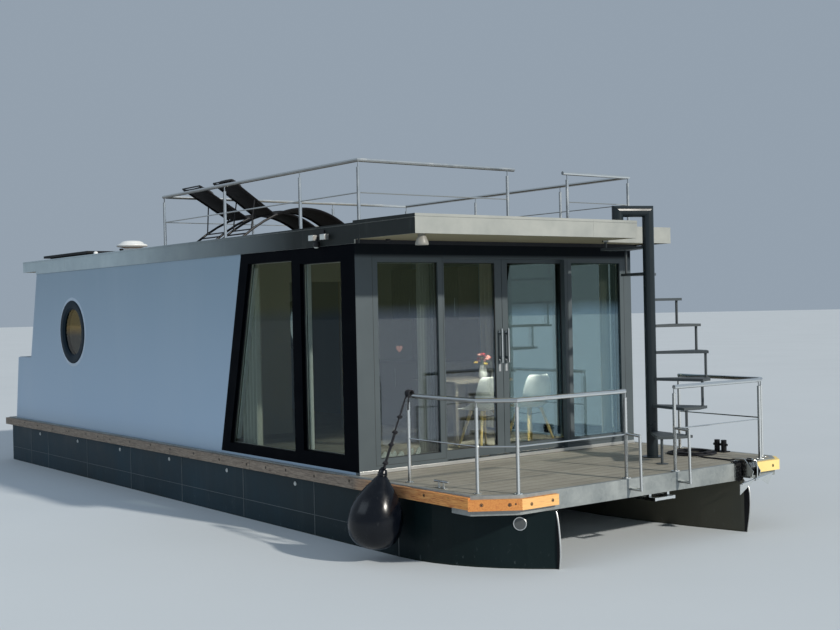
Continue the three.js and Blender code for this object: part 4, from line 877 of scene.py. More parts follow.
def hull_details():
    seams, plugs, guards, webs = (Form() for _ in range(4))
    for side in (-1, 1):
        for x in SEAMS_X:
            seams.tube([at(x, side * HULL_FACE, z) for z in (-122, -500, -900, -1170)], 0.005, 8)
        seams.tube([at(x, side * HULL_FACE, -470) for x in (-9890, -5000, 690)], 0.003, 6)
        for x in PLUGS_X:
            plugs.turned([(0.024, 0), (0.024, 0.004), (0.018, 0.009), (0, 0.011)],
                         at(x, side * HULL_FACE, -187), (0, side, 0), 20)
        guards.tube([at(x, side * STEM_Y, z) for x, z in STEMS[side]], 0.008, 10)
        inner = [(x - 5, z) for x, z in STEMS[side]] + [(2040, -815), (2040, -178)]
        webs.slab([at(x, side * STEM_Y - 3, z) for x, z in inner], (0, 0.006, 0))
    piece("hull_seams", seams, "weld")
    piece("hull_plugs", plugs, "plug")
    piece("stem_guards", guards, "spacer", sharp=60)
    piece("stem_webs", webs, "black", slot="hull_paint")
    place, out = on_nose(1840, -284, lift=1)
    plate = Form().turned([(0, 0), (0.056, 0), (0.056, 0.004), (0, 0.004)], place, out, 40)
    piece("nose_marker", plate, "disc")
    rim = Form().turned([(0.052, 0), (0.060, 0), (0.060, 0.004), (0.057, 0.006), (0.052, 0.005), (0.052, 0)],
                        place, out, 40)
    piece("nose_marker_rim", rim, "spacer", slot="hull_paint")
    lining = Form().turned([(0.095, 0), (0.125, 0), (0.125, 0.006), (0.101, 0.010), (0.095, 0.006),
                            (0.095, 0)], *on_nose(1050, -940), 40)
    piece("thruster_rim", lining, "weld")


def rail_details():
    """Sunk bolts, and the butt joints between the planks."""
    rng = random.Random(SEED)
    bolts, joints = Form(), Form()

    def bolt(place, out):
        bolts.turned([(0.016, -0.003), (0.016, 0.0006), (0.011, 0.0006), (0.011, -0.002)], place, out, 16)
        bolts.turned([(0, 0.0025), (0.009, 0.002), (0.009, -0.002)], place, out, 6)

    for side, bow_end in ((-1, 1600), (1, 1840)):
        x = -9800
        while x < bow_end:
            bolt(at(x, side * RAIL_FACE, -52 + rng.uniform(-14, 14)), (0, side, 0))
            x += rng.choice((420, 560, 640))
        for x in PLANK_JOINTS_X:
            joints.box((x - 2, x + 2), (side * (RAIL_FACE - 6), side * (RAIL_FACE + 0.5)), (-113, -13))
    corner_out = Vector((355, -243, 0)).normalized()
    for place in ((1846, -1949, -72), (1984, -1749, -76), (2012, -1705, -70)):
        bolt(at(*place), corner_out)
    for y, z in ((-1552, -83), (-1305, -78), (1520, -67), (1762, -66)):
        bolt(at(RAIL_FACE, y, z), (1, 0, 0))
    piece("rail_bolts", bolts, "bolt", sharp=25)
    piece("rail_joints", joints, "rubber", slot="timber")


CHAIN_LINE = [(1960, 1262, 9), (1990, 1262, 9), (2012, 1263, -3), (2016, 1264, -30), (2015, 1262, -60),
              (2017, 1265, -90), (2015, 1263, -120), (2016, 1268, -150), (2016, 1285, -168),
              (2017, 1300, -150), (2015, 1303, -120), (2016, 1305, -90), (2014, 1308, -60),
              (2016, 1310, -30), (2010, 1310, 0), (1985, 1309, 10), (1955, 1307, 10)]


def bow_chain():
    """A short chain in three loops that hang over the deck's edge beside the roller."""
    links = Form()
    rng = random.Random(SEED)
    loops = [[at(x, y + shift, z) for x, y, z in CHAIN_LINE] for shift in (-46, -22, 0)]
    spread = [pair for loop in loops for pair in zip(loop, loop[1:])]
    for i, (a, b) in enumerate(spread):
        ahead = (b - a).normalized()
        side = Vector((0, 1, 0)) if i % 2 else ahead.cross(Vector((0, 1, 0)))
        side = (side - ahead * side.dot(ahead)).normalized()
        centre = (a + b) / 2 + Vector((0.004, rng.uniform(-0.002, 0.002), 0))
        links.tube([centre + ahead * (math.copysign(0.011, math.cos(t)) + 0.009 * math.cos(t))
                    + side * 0.009 * math.sin(t) for t in around(18, 0.01)], 0.0042, 6, closed=True)
    piece("bow_chain", links, "black")


def deck_details():
    sill = Form().box((0.6, 11), (-1948, 788), (3, 38)).box((0.6, 11), (790, 1898), (3, 38))
    piece("front_sill_strip", sill, "spacer", bevel=0.002)
    screws = Form()
    for x, y in ((716, -1870), (1705, -1870), (1957, -1624), (1957, -287), (1957, 385), (1957, 1670),
                 (1870, 1815), (720, 1870)):
        for a in around(3, 0.4):
            screws.turned([(0.005, 0), (0.004, 0.002), (0, 0.0025)],
                          at(x + 32 * math.cos(a), y + 32 * math.sin(a), 8), UP, 8)
    piece("rail_foot_screws", screws, "steel")


# Fender

FENDER_EYE, FENDER_TIP, FENDER_R = (780, -2215, 165), (690, -2305, -560), 0.255
# The outline from the tip to the eye, in shares of the radius and of the length.
FENDER_LINE = [(0, 0), (0.22, 0.004), (0.4, 0.02), (0.58, 0.045), (0.72, 0.08), (0.85, 0.135),
               (0.93, 0.2), (0.985, 0.265), (1, 0.33), (0.985, 0.40), (0.95, 0.47), (0.875, 0.545),
               (0.78, 0.62), (0.645, 0.695), (0.5, 0.77), (0.37, 0.82), (0.28, 0.87), (0.215, 0.895),
               (0.17, 0.915), (0.185, 0.925), (0.165, 0.935), (0.18, 0.948), (0.155, 0.958),
               (0.15, 0.985), (0.11, 1), (0, 1)]
BOW_RAIL_Y, BOW_RAIL_Z = -1870, 831


def fender():
    eye, tip = spots(FENDER_EYE, FENDER_TIP)
    axis = (eye - tip).normalized()
    length = (eye - tip).length
    body = Form().turned([(r * FENDER_R, h * length) for r, h in FENDER_LINE], tip, axis, 56)
    skin = piece("fender_body", body, "vinyl", sharp=60)
    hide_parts("fender")
    hole = eye - axis * 0.012
    side = axis.cross(Vector((1, 0, 0))).normalized()
    ring = Form().tube([hole + 0.024 * (math.cos(t) * side + math.sin(t) * axis) for t in around(20)],
                       0.011, 8, closed=True)
    piece("fender_eye", ring, "vinyl")
    start, end = eye + axis * 0.002, at(730, BOW_RAIL_Y - 29, BOW_RAIL_Z - 12)
    line = []
    for i in range(25):
        t = i / 24
        sway = 0.012 * math.sin(math.pi * t) + 0.003 * math.sin(9 * t)
        line.append(start.lerp(end, t) + Vector((0.4, -0.6, -0.5)) * sway)
    rope = Form().tube(line, 0.008, 10)
    rope.tube([p + Vector((0.013, 0.004, 0.002)) for p in line[:13]], 0.007, 8)
    for place in (2, 8, 12, 17):
        knot(rope, line[place] + Vector((0.004, 0, 0)), axis, 0.021, 0.0085)
    for x in (712, 729, 746, 763):
        rope.tube([at(x + 8 * t / (2 * math.pi), BOW_RAIL_Y + 30 * math.cos(t), BOW_RAIL_Z + 30 * math.sin(t))
                   for t in around(22)], 0.008, 8, closed=True)
    tail = ((765, 28, 5), (770, 36, 50), (766, 38, 110), (770, 42, 150))
    rope.tube([at(x, BOW_RAIL_Y - out, BOW_RAIL_Z - down) for x, out, down in tail], 0.007, 8)
    cord = piece("fender_line", rope, "rope")
    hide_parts("fender_rope")


# Cabin

WALL_FACES = {"starboard": (-1950, -1), "port": (1900, 1)}  # Y, and the outward direction
PORTHOLE_X, PORTHOLE_Z = -7330, 1377
PANE_FOOT, PANE_HEAD = 139, 2083
SIDE_PANES = [((-2620, 130), (-2115, 2150), (-1190, 2150), (-1190, 130)),
              ((-1020, 170), (-1020, 2103), (-255, 2103), (-255, 170))]
FRONT_PANES = [(-1685, -935), (952, 1718)]
LEAF_PANES = {"door_starboard": (-863, -115), "door_port": (62, 850)}


def portholes():
    for side, (y, out) in WALL_FACES.items():
        mouth, facing = at(PORTHOLE_X, y, PORTHOLE_Z), (0, out, 0)
        ring = Form().turned([
            (0.328, -0.079), (0.418, -0.079), (0.418, -0.001), (0.455, 0.0005), (0.455, 0.007),
            (0.449, 0.0125), (0.440, 0.014), (0.366, 0.014), (0.356, 0.011), (0.345, 0.001),
            (0.337, -0.006), (0.328, -0.010), (0.328, -0.079)], mouth, facing, 96)
        frame_ring = piece("porthole_ring_" + side, ring, "ring", sharp=50)
        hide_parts("porthole_" + side)
        glass = Form().turned([(0, -0.044), (0.332, -0.044), (0.332, -0.020), (0, -0.020)], mouth, facing, 72)
        piece("porthole_pane_" + side, glass, "glass_round")
        trim = Form().turned([(0.4552, 0.0004), (0.500, 0.0004), (0.496, 0.003), (0.4552, 0.004)],
                             mouth, facing, 96)
        piece("porthole_trim_" + side, trim, "trim")


def pane_corners(x, y0, y1, grow=0):
    """The corners of a pane in the glazed front, or of the sash that is so much larger."""
    low, high = PANE_FOOT - grow, PANE_HEAD + grow
    return spots((x, y0 - grow, low), (x, y1 + grow, low), (x, y1 + grow, high), (x, y0 - grow, high))


def glazing_details():
    """Pale spacer bars inside the glass edges, black gaskets round them, and flush strips of painted shade.
    """
    spacers, gaskets, shade_strips, reveals, joints = (Form() for _ in range(5))
    for y, out in WALL_FACES.values():
        for outline in SIDE_PANES:
            spacers.strip([at(x, y - out * 55, z) for x, z in outline], 0.009, (0, -out * 0.012, 0))
            gaskets.strip([at(x, y - out * 42, z) for x, z in outline], 0.006, (0, -out * 0.008, 0))
        # painted shade: near-black strips under the fascia and along the front corner of each wall
        flush = (y - out * 0.5, y + out * 1.5)
        shade_strips.box((-2278, -2), flush, (2229, 2262.5)).box((-61, -2), flush, (27, 2230))
        for x0, x1, tilt in ((-2600, -2576, 482), (-1017, -993, 0)):
            corners = ((x0, 172), (x1, 172), (x1 + tilt, 2100), (x0 + tilt, 2100))
            reveals.slab([at(x, y - out * 78, z) for x, z in corners], (0, -out * 0.040, 0))
    for y0, y1 in FRONT_PANES:
        spacers.strip(pane_corners(-50, y0, y1), 0.010, (-0.010, 0, 0))
        gaskets.strip(pane_corners(-26, y0, y1), 0.006, (-0.012, 0, 0))
        joints.strip(pane_corners(0.2, y0, y1, 64), 0.003, (0.0008, 0, 0))
    piece("window_shade_strips", shade_strips, "navy", bevel=0.0005)
    piece("window_reveals", reveals, "white", slot="wall_panel", bevel=0.001)
    piece("glazing_spacers", spacers, "spacer")
    piece("glazing_gaskets", gaskets, "rubber")
    piece("sash_joints", joints, "rubber")
    for body, (y0, y1) in LEAF_PANES.items():
        gasket = Form().strip(pane_corners(-72, y0, y1), 0.006, (-0.008, 0, 0))
        piece(body + "_gasket", gasket, "rubber", body)


def door_furniture():
    for side, y in (("starboard", -66), ("port", 26)):
        body = "door_" + side
        bar = Form().tube([at(-22, y, z) for z in (1018, 1110, 1290, 1382)], 0.010, 16)
        for z in (1060, 1330):
            bar.tube(spots((-70, y, z), (-22, y, z)), 0.008, 12)
            bar.turned([(0.017, 0), (0.017, 0.003), (0.008, 0.004)], at(-68, y, z), (1, 0, 0), 20)
        piece("door_pull_" + side, bar, "steel", body)
        lock = Form().turned([(0, 0.006), (0.009, 0.006), (0.009, 0)], at(-68, y, 965), (1, 0, 0), 20)
        lock.box((-68, -64), (y - 14, y + 14), (925, 1005))
        piece("door_lock_" + side, lock, "spacer", body, bevel=0.0015)


CURTAIN_TOP, CURTAIN_FOOT, CURTAIN_RAIL = 2225, 40, 2240
CURTAIN_FOLDS, FOLD_STEPS, CURTAIN_ROWS = 5, 14, 26
CURTAINS = {  # the ends of each along its rail, and its flat width in metres
    "curtain_side_starboard": ((-2560, -1800), (-2140, -1800), 1.1),
    "curtain_front_starboard": ((-192, -1060), (-192, -880), 0.5),
    "curtain_front_port": ((-190, 1585), (-190, 1720), 0.37),
    "curtain_side_port": ((-2560, 1750), (-2140, 1750), 1.1),
}


def gathered(name, start, end, flat_width, rng):
    """A curtain hung in soft folds between two points along a rail."""
    a, b = Vector(start), Vector(end)
    width = (b - a).length / 1000
    along = (b - a).normalized()
    over = Vector((-along.y, along.x))
    steps = CURTAIN_FOLDS * FOLD_STEPS
    phases = [rng.uniform(-0.5, 0.5) for _ in range(CURTAIN_FOLDS + 1)]

    def row(depth, sway):
        out = []
        for i in range(steps + 1):
            t = i / steps
            turns = math.pi * t * CURTAIN_FOLDS
            phase = phases[min(CURTAIN_FOLDS - 1, int(t * CURTAIN_FOLDS))] * 0.4
            wave = math.sin(2 * turns + phase * math.sin(turns))
            out.append(Vector((t * width, depth * wave + sway * math.sin(5 * t))))
        return out

    low, high = 0.0, 0.2
    for _ in range(30):
        mid = (low + high) / 2
        line = row(mid, 0)
        wide_enough = sum((q - p).length for p, q in zip(line, line[1:])) >= flat_width
        low, high = (low, mid) if wide_enough else (mid, high)
    rows = []
    for i in range(CURTAIN_ROWS + 1):
        t = i / CURTAIN_ROWS
        z = between(CURTAIN_TOP, CURTAIN_FOOT, t)
        rows.append([at(*(a + along * u * 1000 + over * w * 1000), z)
                     for u, w in row(low * (0.82 + 0.18 * smooth(t * 3)), 0.01 * t)])
    made = piece(name, Form().grid(rows), "curtain", sharp=180)


def curtains():
    rng = random.Random(SEED)
    for name, (start, end, flat_width) in CURTAINS.items():
        gathered(name, start, end, flat_width, rng)
    rails = Form()
    for ends in (((-2750, -1800), (-240, -1800)), ((-2650, 1750), (-240, 1750)),
                 ((-190, -1700), (-190, 1740))):
        rails.tube([at(x, y, CURTAIN_RAIL) for x, y in ends], 0.010, 10)
    piece("curtain_rails", rails, "steel")


# The moulded chair's rows from front to back: X, Z, half width, and how far the rim rises.
CHAIR_SPINE = [(-215, 452, 205, 0), (-190, 438, 215, 8), (-120, 430, 220, 20), (-20, 428, 222, 60),
               (80, 430, 222, 110), (150, 440, 222, 160), (195, 480, 220, 175), (208, 550, 215, 120),
               (213, 640, 205, 60), (216, 730, 190, 28), (218, 790, 165, 12), (219, 818, 120, 4)]


def chair_shell(x, y):
    """A moulded armchair shell whose open side faces aft."""
    rows = []
    for px, pz, half, rise in CHAIR_SPINE:
        rim = 60 if pz > 470 else 0
        rows.append([at(x + px - rim * abs(u) ** 3, y + half * u, pz + rise * abs(u) ** 3)
                     for u in (k / 8 - 1 for k in range(17))])
    return Form().grid(rows)


def chairs():
    for name, x, y in (("chair_fore", -950, 420), ("chair_mid", -850, 1050)):
        shell = piece(name + "_shell", chair_shell(x, y), "white", subdivide=1, sharp=180, solid=0.008)
        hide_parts(name)
        legs, brace = Form(), Form()
        for a, b in ((-1, -1), (-1, 1), (1, -1), (1, 1)):
            legs.tube([at(x + a * d, y + b * d, z) for d, z in ((205, 4), (150, 215), (95, 424))],
                      [0.012, 0.018, 0.021], 12)
            brace.tube([at(x + a * d, y + b * d, z) for d, z in ((110, 370), (70, 426))], 0.005, 8)
        for b in (1, -1):
            brace.tube([at(x + d, y + b * d, z) for d, z in ((-110, 370), (0, 345), (110, 370))], 0.005, 8)
        piece(name + "_legs", legs, "leg_wood")
        piece(name + "_brace", brace, "black")


VASE_FOOT = Vector((-1640, 1010, 750))
VASE_PROFILE = [(0, 0.001), (0.045, 0.001), (0.056, 0.03), (0.050, 0.08), (0.034, 0.13), (0.040, 0.155),
                (0.036, 0.155), (0.030, 0.13), (0.044, 0.08), (0, 0.02)]


def flowers():
    rng = random.Random(SEED)
    piece("table_vase", Form().turned(VASE_PROFILE, at(*VASE_FOOT)), "white", slot="furniture", sharp=60)
    stems, leaves = Form(), Form()
    petals = {"red": Form(), "pink": Form(), "yellow": Form()}
    for i in range(15):
        angle, lean = rng.uniform(0, 2 * math.pi), rng.uniform(10, 105)
        top = Vector((lean * math.cos(angle), lean * math.sin(angle), rng.uniform(215, 315) - lean * 0.5))
        foot, tip = at(*(VASE_FOOT + UP * 60)), at(*(VASE_FOOT + top))
        stems.tube([foot, foot.lerp(tip, 0.5) + UP * 0.02, tip], 0.0025, 6)
        kind = ("red", "pink", "yellow", "red", "pink")[i % 5]
        size = rng.uniform(0.022, 0.034)
        petal = [(0, -0.5 * size), (0.45 * size, -0.2 * size), (0.5 * size, 0.1 * size), (0, 0.32 * size)]
        for ring in range(3):
            for a in around(5 + ring, ring):
                out = Vector((math.cos(a), math.sin(a), 0.9 - 0.4 * ring)).normalized()
                petals[kind].turned(petal, tip + out * size * (0.35 + 0.25 * ring), out, 7)
        if i % 2:
            out = Vector((math.cos(angle + 1), math.sin(angle + 1), 0.3))
            mid = foot.lerp(tip, 0.6)
            side = out.cross(UP).normalized() * 0.012
            middle = mid + out * 0.03
            leaves.slab([mid, middle + side, mid + out * 0.075, middle - side], UP * 0.001)
    piece("table_flower_stems", stems, "leaf")
    piece("table_flower_leaves", leaves, "leaf")
    for kind, form in petals.items():
        piece("table_flowers_" + kind, form, kind, sharp=80)


GALLEY_FRONT, CUPBOARD_FRONT = 1200, 1470
GALLEY_JOINTS, GALLEY_END = (-4149, -3656, -3163, -2664), -2661
TAP_X, TAP_Y = -3400, 1700


def kitchen():
    """Door gaps, bar handles, a tap and a sink on the galley against the port wall."""
    gaps, bars = Form(), Form()
    counter = (GALLEY_FRONT - 1.6, GALLEY_FRONT + 1)
    for x in GALLEY_JOINTS:
        gaps.box((x - 1.5, x + 1.5), counter, (90, 880))
        gaps.box((x - 1.5, x + 1.5), (CUPBOARD_FRONT - 1.6, CUPBOARD_FRONT + 1), (1452, 2148))
    for x in GALLEY_JOINTS[1:]:
        for z0, z1, y in ((560, 800, GALLEY_FRONT), (1500, 1740, CUPBOARD_FRONT)):
            bars.tube([at(x - 45, y - 26, z) for z in (z0, (z0 + z1) / 2, z1)], 0.006, 10)
            for z in (z0 + 20, z1 - 20):
                bars.tube(spots((x - 45, y, z), (x - 45, y - 26, z)), 0.004, 8)
    for z in (870, 90):
        gaps.box((GALLEY_JOINTS[0], GALLEY_END), counter, (z - 2, z + 2))
    piece("galley_gaps", gaps, "rubber", slot="furniture")
    piece("galley_handles", bars, "steel")
    spout = ((0, 899), (0, 1080), (20, 1130), (70, 1150), (120, 1130), (130, 1095))
    tap = Form().tube([at(TAP_X, TAP_Y - out, z) for out, z in spout], 0.010, 12)
    tap.turned([(0.026, 0), (0.026, 0.006), (0.012, 0.012)], at(TAP_X, TAP_Y, 899.5), UP, 20)
    piece("galley_tap", tap, "steel", sharp=60)
    sink = spots((-3620, 1330, 901), (-3180, 1330, 901), (-3180, 1640, 901), (-3620, 1640, 901))
    piece("galley_sink_rim", Form().strip(sink, 0.022, UP * 0.003), "steel")


FAN = ((0, 0), (-0.1, 0.35), (0.15, 0.8), (0.42, 1), (0.66, 0.7), (0.9, 0.25), (1, 0))
HEART_Y, HEART_Z, HEART_SCALE = -1404, 1218, 2.5


def pane_ornaments():
    """A row of pale flat shells on the ledge inside the starboard pane, and a heart that hangs
    against it."""
    rng = random.Random(SEED)
    shells = Form()
    for y in (-1632, -1570, -1508, -1420, -1290, -1205):
        wide, tall, lean = rng.uniform(56, 84), rng.uniform(52, 80), rng.uniform(4, 26)
        shells.slab([at(-58, y + wide * (0.5 - t) + lean * s, 139.5 + tall * s) for t, s in FAN],
                    (0.013, 0, 0))
    piece("ledge_shells", shells, "stone", bevel=0.003)
    heart = [at(-52, HEART_Y + HEART_SCALE * 16 * math.sin(t) ** 3,
                HEART_Z + HEART_SCALE * (13 * math.cos(t) - 5 * math.cos(2 * t) - 2 * math.cos(3 * t)
                                         - math.cos(4 * t))) for t in around(28)]
    piece("pane_heart", Form().slab(heart, (0.007, 0, 0)), "pink", bevel=0.002)


# Roof and terrace

FASCIA_STARBOARD, FASCIA_PORT, FASCIA_BOW, FASCIA_SHORT = -1965, 2000, 1010, 529
CAP_RADIUS = 0.0035
SOFFIT_Z, ROOF_Z = 2303, 2440
VENT_Y = -1375


def fascia_details():
    """The cap line near the top, and the sheet joints."""
    seams, cap = Form(), Form()
    for x, top in ((-7560, 2462), (100, 2470)):
        for y, out in ((FASCIA_STARBOARD, -1), (FASCIA_PORT, 1)):
            seams.box((x - 14, x + 14), (y + out * 0.2, y + out), (2264, top))
    seams.box((FASCIA_BOW + 0.2, FASCIA_BOW + 1.0), (300, 328), (2304, 2480))
    side, port = FASCIA_STARBOARD - 1.5, FASCIA_PORT + 1.5
    cap.tube(spots((-9300, side, 2448), (0, side, 2448), (FASCIA_BOW + 0.5, side, 2452)), CAP_RADIUS, 6)
    cap.tube(spots((FASCIA_BOW + 1.5, FASCIA_STARBOARD, 2462), (FASCIA_BOW + 1.5, 938, 2462)), CAP_RADIUS, 6)
    cap.tube(spots((-9300, port, 2448), (FASCIA_SHORT, port, 2448)), CAP_RADIUS, 6)
    piece("fascia_seams", seams, "edge")
    piece("fascia_cap", cap, "edge")


def lamps():
    """The bell and the small fitting under the overhang, and the twin spotlight with its sensor."""
    bell = Form().turned([(0.054, -0.096), (0.054, -0.104), (0.060, -0.104), (0.063, -0.094),
                          (0.059, -0.072), (0.043, -0.034), (0.034, -0.014), (0.030, 0), (0, 0)],
                         at(935, -1835, SOFFIT_Z), UP, 36)
    bell.turned([(0, -0.092), (0.055, -0.096)], at(935, -1835, SOFFIT_Z), UP, 24)
    piece("soffit_lamp", bell, "bell", sharp=40)
    small = Form().turned([(0, -0.022), (0.018, -0.020), (0.024, -0.006), (0.024, 0), (0, 0)],
                          at(135, -1643, SOFFIT_Z), UP, 24)
    piece("soffit_fitting", small, "black", sharp=50)
    y = FASCIA_STARBOARD
    twin, glass, dark = Form(), Form(), Form()
    for x in (-640, -424):
        twin.box((x - 46, x + 46), (y - 84, y - 36), (2322, 2378))
        glass.box((x - 38, x + 38), (y - 86.5, y - 84.2), (2328, 2372))
        for fin in range(x - 36, x + 29, 16):
            dark.box((fin, fin + 6), (y - 36, y - 24), (2326, 2374))
    dark.box((-560, -500), (y - 16, y - 0.4), (2326, 2424))
    dark.tube(spots((-624, y - 30, 2350), (-560, y - 26, 2372), (-500, y - 26, 2372), (-440, y - 30, 2350)),
              0.011, 12)
    dark.turned([(0.012, 0.020), (0.016, 0), (0.034, -0.012), (0.038, -0.044), (0.028, -0.068),
                 (0.010, -0.078), (0, -0.079)], at(-592, y - 44, 2318), UP, 28)
    dark.tube(spots((-560, y - 10, 2338), (-585, y - 34, 2334), (-592, y - 44, 2322)), 0.009, 10)
    glass.turned([(0.0285, -0.0665), (0.024, -0.0725), (0.012, -0.0785), (0, -0.080)],
                 at(-588, y - 50, 2322), UP, 20)
    head = piece("twin_spotlight", twin, "spacer", slot="white_plastic", bevel=0.002, sharp=40)
    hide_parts("fascia_spotlight")
    piece("twin_spotlight_lenses", glass, "lens")
    piece("motion_sensor", dark, "black", sharp=50)


def roof_gear():
    place = at(-6490, VENT_Y, ROOF_Z)
    dome = Form().turned([
        (0.150, 0), (0.150, 0.006), (0.118, 0.010), (0.112, 0.118), (0.205, 0.132), (0.215, 0.142),
        (0.215, 0.156), (0.205, 0.166), (0.168, 0.176), (0.158, 0.188), (0.140, 0.204), (0.100, 0.215),
        (0.050, 0.2195), (0, 0.220)], place, UP, 56)
    vent = piece("vent_dome", dome, "white", sharp=50)
    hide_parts("roof_vent")
    under = Form().turned([(0.113, 0.114), (0.213, 0.137), (0.213, 0.1405), (0.113, 0.120)], place, UP, 56)
    piece("vent_underside", under, "brown")
    stub = Form().turned([(0.022, 0), (0.022, 0.10), (0.030, 0.105), (0.030, 0.125), (0, 0.13)],
                         at(-6860, VENT_Y, ROOF_Z), UP, 20)
    piece("roof_stub", stub, "black", sharp=50)
    gland = Form().turned([(0.030, 0), (0.034, 0.02), (0.026, 0.055), (0, 0.066)],
                          at(-6700, -1830, 2452), UP, 24)
    piece("panel_gland", gland, "white", sharp=60)
    lead = Form().tube(spots((-6968, -1700, 2512), (-6900, -1720, 2500), (-6840, -1790, 2472),
                             (-6700, -1828, 2474), (-6500, -1832, 2476), (-6360, -1830, 2468),
                             (-6300, -1800, 2446)), 0.006, 8)
    piece("panel_conduit", lead, "rubber", slot="rope")


LOUNGER_Z = 2462
LOUNGER_BOW = (-1680, 18), (-745, 746), (-30, 18)
LOUNGER_HIP = Vector((-1230, 313))
LOUNGER_PLACES = [("aft", -3900, (-1855, 677)), ("fore", -3240, (-1780, 688))]
LOUNGER_WIDTH = 500
SEAT_FROM, SEAT_TO = 0.27, 0.9  # shares of the bow's length
BACK_INSET = 28


def over_lounger(x, point):
    """A point of a lounger's own Y and Z, at some X."""
    return at(x, point.x, LOUNGER_Z + point.y)


def on_seat(share):
    return curve(LOUNGER_BOW, between(SEAT_FROM, SEAT_TO, share))


def sling(name, path, x0, x1, sag):
    """Cloth stretched between two side tubes: it dips between them. path is in Y and Z."""
    points = [p + Vector((0, 4)) for p in path]
    lengths = [0.0]
    for p, q in zip(points, points[1:]):
        lengths.append(lengths[-1] + (q - p).length)
    rows = []
    for i, p in enumerate(points):
        ahead = (points[min(i + 1, len(points) - 1)] - points[max(i - 1, 0)]).normalized()
        down = Vector((ahead.y, -ahead.x))
        if down.y > 0:
            down = -down
        ends = 4 * lengths[i] * (lengths[-1] - lengths[i]) / lengths[-1] ** 2
        depth = sag * (0.35 + 0.65 * ends)
        rows.append([over_lounger(between(x0, x1, u), p + down * depth * 4 * u * (1 - u))
                     for u in (k / 14 for k in range(15))])
    made = piece(name, Form().grid(rows), "sling", sharp=180)
    return made


# Where the pad's middle is along the back from the hip, and its half height and half depth.
PAD_MIDDLE, PAD_HALF, PAD_THICK = 564, 84, 27


def head_pad(name, x0, x1, head):
    """A crowned cushion across the head of the back, with a piped seam."""
    along = (head - LOUNGER_HIP).normalized()
    out = Vector((-along.y, along.x))
    if out.y < 0:
        out = -out
    centre = LOUNGER_HIP + along * PAD_MIDDLE + out * (4 + PAD_THICK)
    cx, wide = (x0 + x1) / 2, (x1 - x0) / 2

    def ring(shrink, rise):
        row = []
        for a in around(48):
            c, s = math.cos(a), math.sin(a)
            u = power(c, 0.35) * (1 - 0.03 * abs(math.sin(2 * a)))
            pinch = 1 - 0.25 * (abs(c) ** 6 + abs(s) ** 6) * (1 - shrink)
            p = (centre + along * PAD_HALF * power(s, 0.45) * shrink * pinch
                 + out * PAD_THICK * rise * (0.86 + 0.14 * (1 - abs(u))))
            row.append(over_lounger(cx + wide * u * shrink * pinch, p))
        return row

    rows = [ring(abs(math.cos(t)) ** 0.32, power(math.sin(t), 0.8))
            for t in (math.pi * (i / 24) - math.pi / 2 for i in range(25))]
    pad = piece(name, Form().grid(rows, closed=True), "pad", sharp=180)
    piece(name + "_piping", Form().tube(ring(1, 0), 0.004, 6, closed=True), "piping", sharp=180)
    return pad


def loungers():
    for name, x, head_place in LOUNGER_PLACES:
        head = Vector(head_place)
        back_path = [head.lerp(LOUNGER_HIP, t) for t in (0.03, 0.2, 0.4, 0.6, 0.8, 0.97)] + [on_seat(0)]
        seat_path = [on_seat(i / 14) for i in range(15)]
        back = sling("lounger_back_" + name, back_path, x + 41, x + LOUNGER_WIDTH - 41, 26)
        seat = sling("lounger_seat_" + name, seat_path, x + 15, x + LOUNGER_WIDTH - 15, 30)
        pad = head_pad("lounger_pad_" + name, x + 60, x + LOUNGER_WIDTH - 60, head)
        for part in (back, seat, pad):
            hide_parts("lounger_sling_" + name)
        sleeves, teeth = Form(), Form()
        for side in (x + BACK_INSET, x + LOUNGER_WIDTH - BACK_INSET):
            sleeves.tube([over_lounger(side, head.lerp(LOUNGER_HIP, t)) for t in (0.03, 0.5, 0.96)],
                         0.0145, 14)
            for i in range(6):
                y, z = LOUNGER_HIP.lerp(head, 0.38 - 0.028 * i)
                teeth.box((side - 5, side + 5), (y - 4, y + 4), (LOUNGER_Z + z - 20, LOUNGER_Z + z))
        for side in (x, x + LOUNGER_WIDTH):
            sleeves.tube([over_lounger(side, on_seat(i / 16)) for i in range(17)], 0.0165, 14)
        piece("lounger_sleeves_" + name, sleeves, "sling")
        piece("lounger_adjusters_" + name, teeth, "black")


# Stern

COWL_LEVELS = [  # Z, the middle in X, and the half sizes in X and Y
    (152, -10370, 150, 118), (165, -10371, 172, 138), (230, -10371, 184, 146), (330, -10371, 187, 149),
    (430, -10374, 184, 147), (520, -10380, 172, 138), (580, -10388, 150, 120), (606, -10392, 120, 94),
    (618, -10394, 70, 55)]
LEG_LEVELS = [
    (-760, -10322, 86, 22), (-700, -10325, 82, 24), (-620, -10330, 88, 30), (-480, -10325, 80, 30),
    (-200, -10325, 78, 34), (60, -10325, 80, 44), (160, -10330, 95, 60)]
GEARCASE = [(0, -0.118), (0.020, -0.112), (0.036, -0.09), (0.046, -0.05), (0.048, 0), (0.047, 0.08),
            (0.045, 0.118), (0, 0.119)]
PLATE_HALF = [(-10210, 0), (-10230, 50), (-10300, 86), (-10420, 92), (-10540, 80), (-10558, 0)]


def oval(z, cx, half_x, half_y, squareness, nose=0):
    """A level ring with full corners. nose narrows its forward half, in millimetres."""
    return [at(cx + half_x * power(math.cos(a), 2 / squareness),
               (half_y - nose * max(0.0, math.cos(a))) * power(math.sin(a), 2 / squareness), z)
            for a in around(32)]


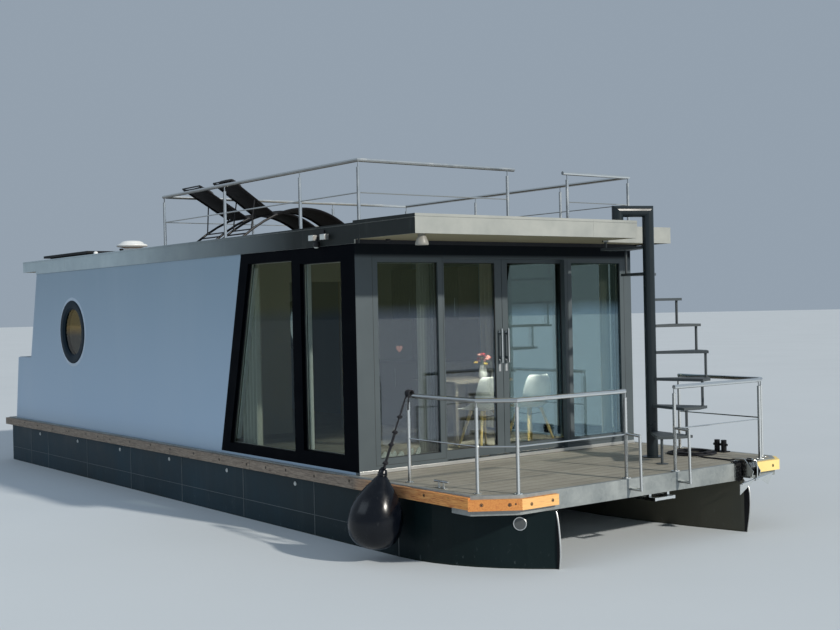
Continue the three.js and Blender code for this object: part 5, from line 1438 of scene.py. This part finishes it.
def outboard():
    """Cowl, leg and gearcase, in the room that the CAD motor holds."""
    cowl = Form().loft([oval(*level, 3.2, 18) for level in COWL_LEVELS])
    made = piece("outboard_cowl", cowl, "black", "outboard", subdivide=1, sharp=60)
    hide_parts("outboard_motor")
    band = Form().tube(oval(250, -10371, 183, 147, 3.2, 18), 0.004, 8, closed=True)
    piece("outboard_cowl_band", band, "steel", "outboard")
    leg = Form().loft([oval(*level, 2.2) for level in LEG_LEVELS])
    leg.turned(GEARCASE, at(-10320, 0, -830), (-1, 0, 0), 28)
    plate = PLATE_HALF + [(x, -y) for x, y in PLATE_HALF[-2:0:-1]]
    leg.slab([at(x, y, -634) for x, y in plate], UP * 0.006)
    skeg = ((-10255, -868), (-10290, -1085), (-10325, -1098), (-10395, -868))
    leg.slab([at(x, 3, z) for x, z in skeg], (0, -0.006, 0))
    fairing = ((-10200, -752), (-10200, -868), (-10420, -862), (-10420, -752))
    leg.slab([at(x, 15, z) for x, z in fairing], (0, -0.030, 0))
    for heights in ((66.5, 90), (-270, -240.5)):
        leg.box((-10262, -10180), (-30, 30), heights)
    piece("outboard_leg", leg, "black", "outboard", bevel=0.002)
    clamp = Form()
    for y in (-60, 60):
        clamp.turned([(0.010, 0), (0.010, 0.03), (0.020, 0.032), (0.020, 0.040), (0, 0.042)],
                     at(-10060, y, -40), (1, 0, 0), 16)
    piece("outboard_clamps", clamp, "steel")


def stern_details():
    wall_lamp = Form().turned([(0, -0.004), (0.055, -0.004), (0.060, 0.004), (0.052, 0.040), (0.030, 0.055),
                               (0, 0.058)], at(-8781, -520, 1850), (-1, 0, 0), 28)
    piece("aft_wall_lamp", wall_lamp, "white", sharp=50)


# The floor

FLOOR_RADII, FLOOR_SIDES = (0.5, 30, 240), 96


def floor():
    """A disc at the waterline, round the model's own origin."""
    centre = Vector((0, 0, SHIFT.z + WATERLINE / 1000))
    form = Form().grid([[centre + Vector((r * math.cos(t), r * math.sin(t), 0)) for t in around(FLOOR_SIDES)]
                        for r in FLOOR_RADII], closed=True)
    mesh = bpy.data.meshes.new("floor")
    mesh.from_pydata([tuple(v) for v in form.verts], [], form.faces + [tuple(range(FLOOR_SIDES))])
    mesh.materials.append(ground())
    placed("floor", mesh)


for build in (camera, anchor_rope, daylight, dress_nodes, hull_details, rail_details, bow_chain, deck_details,
              fender, portholes, glazing_details, door_furniture, curtains, chairs, flowers, kitchen,
              pane_ornaments, fascia_details, lamps, roof_gear, loungers, outboard, stern_details, floor):
    build()
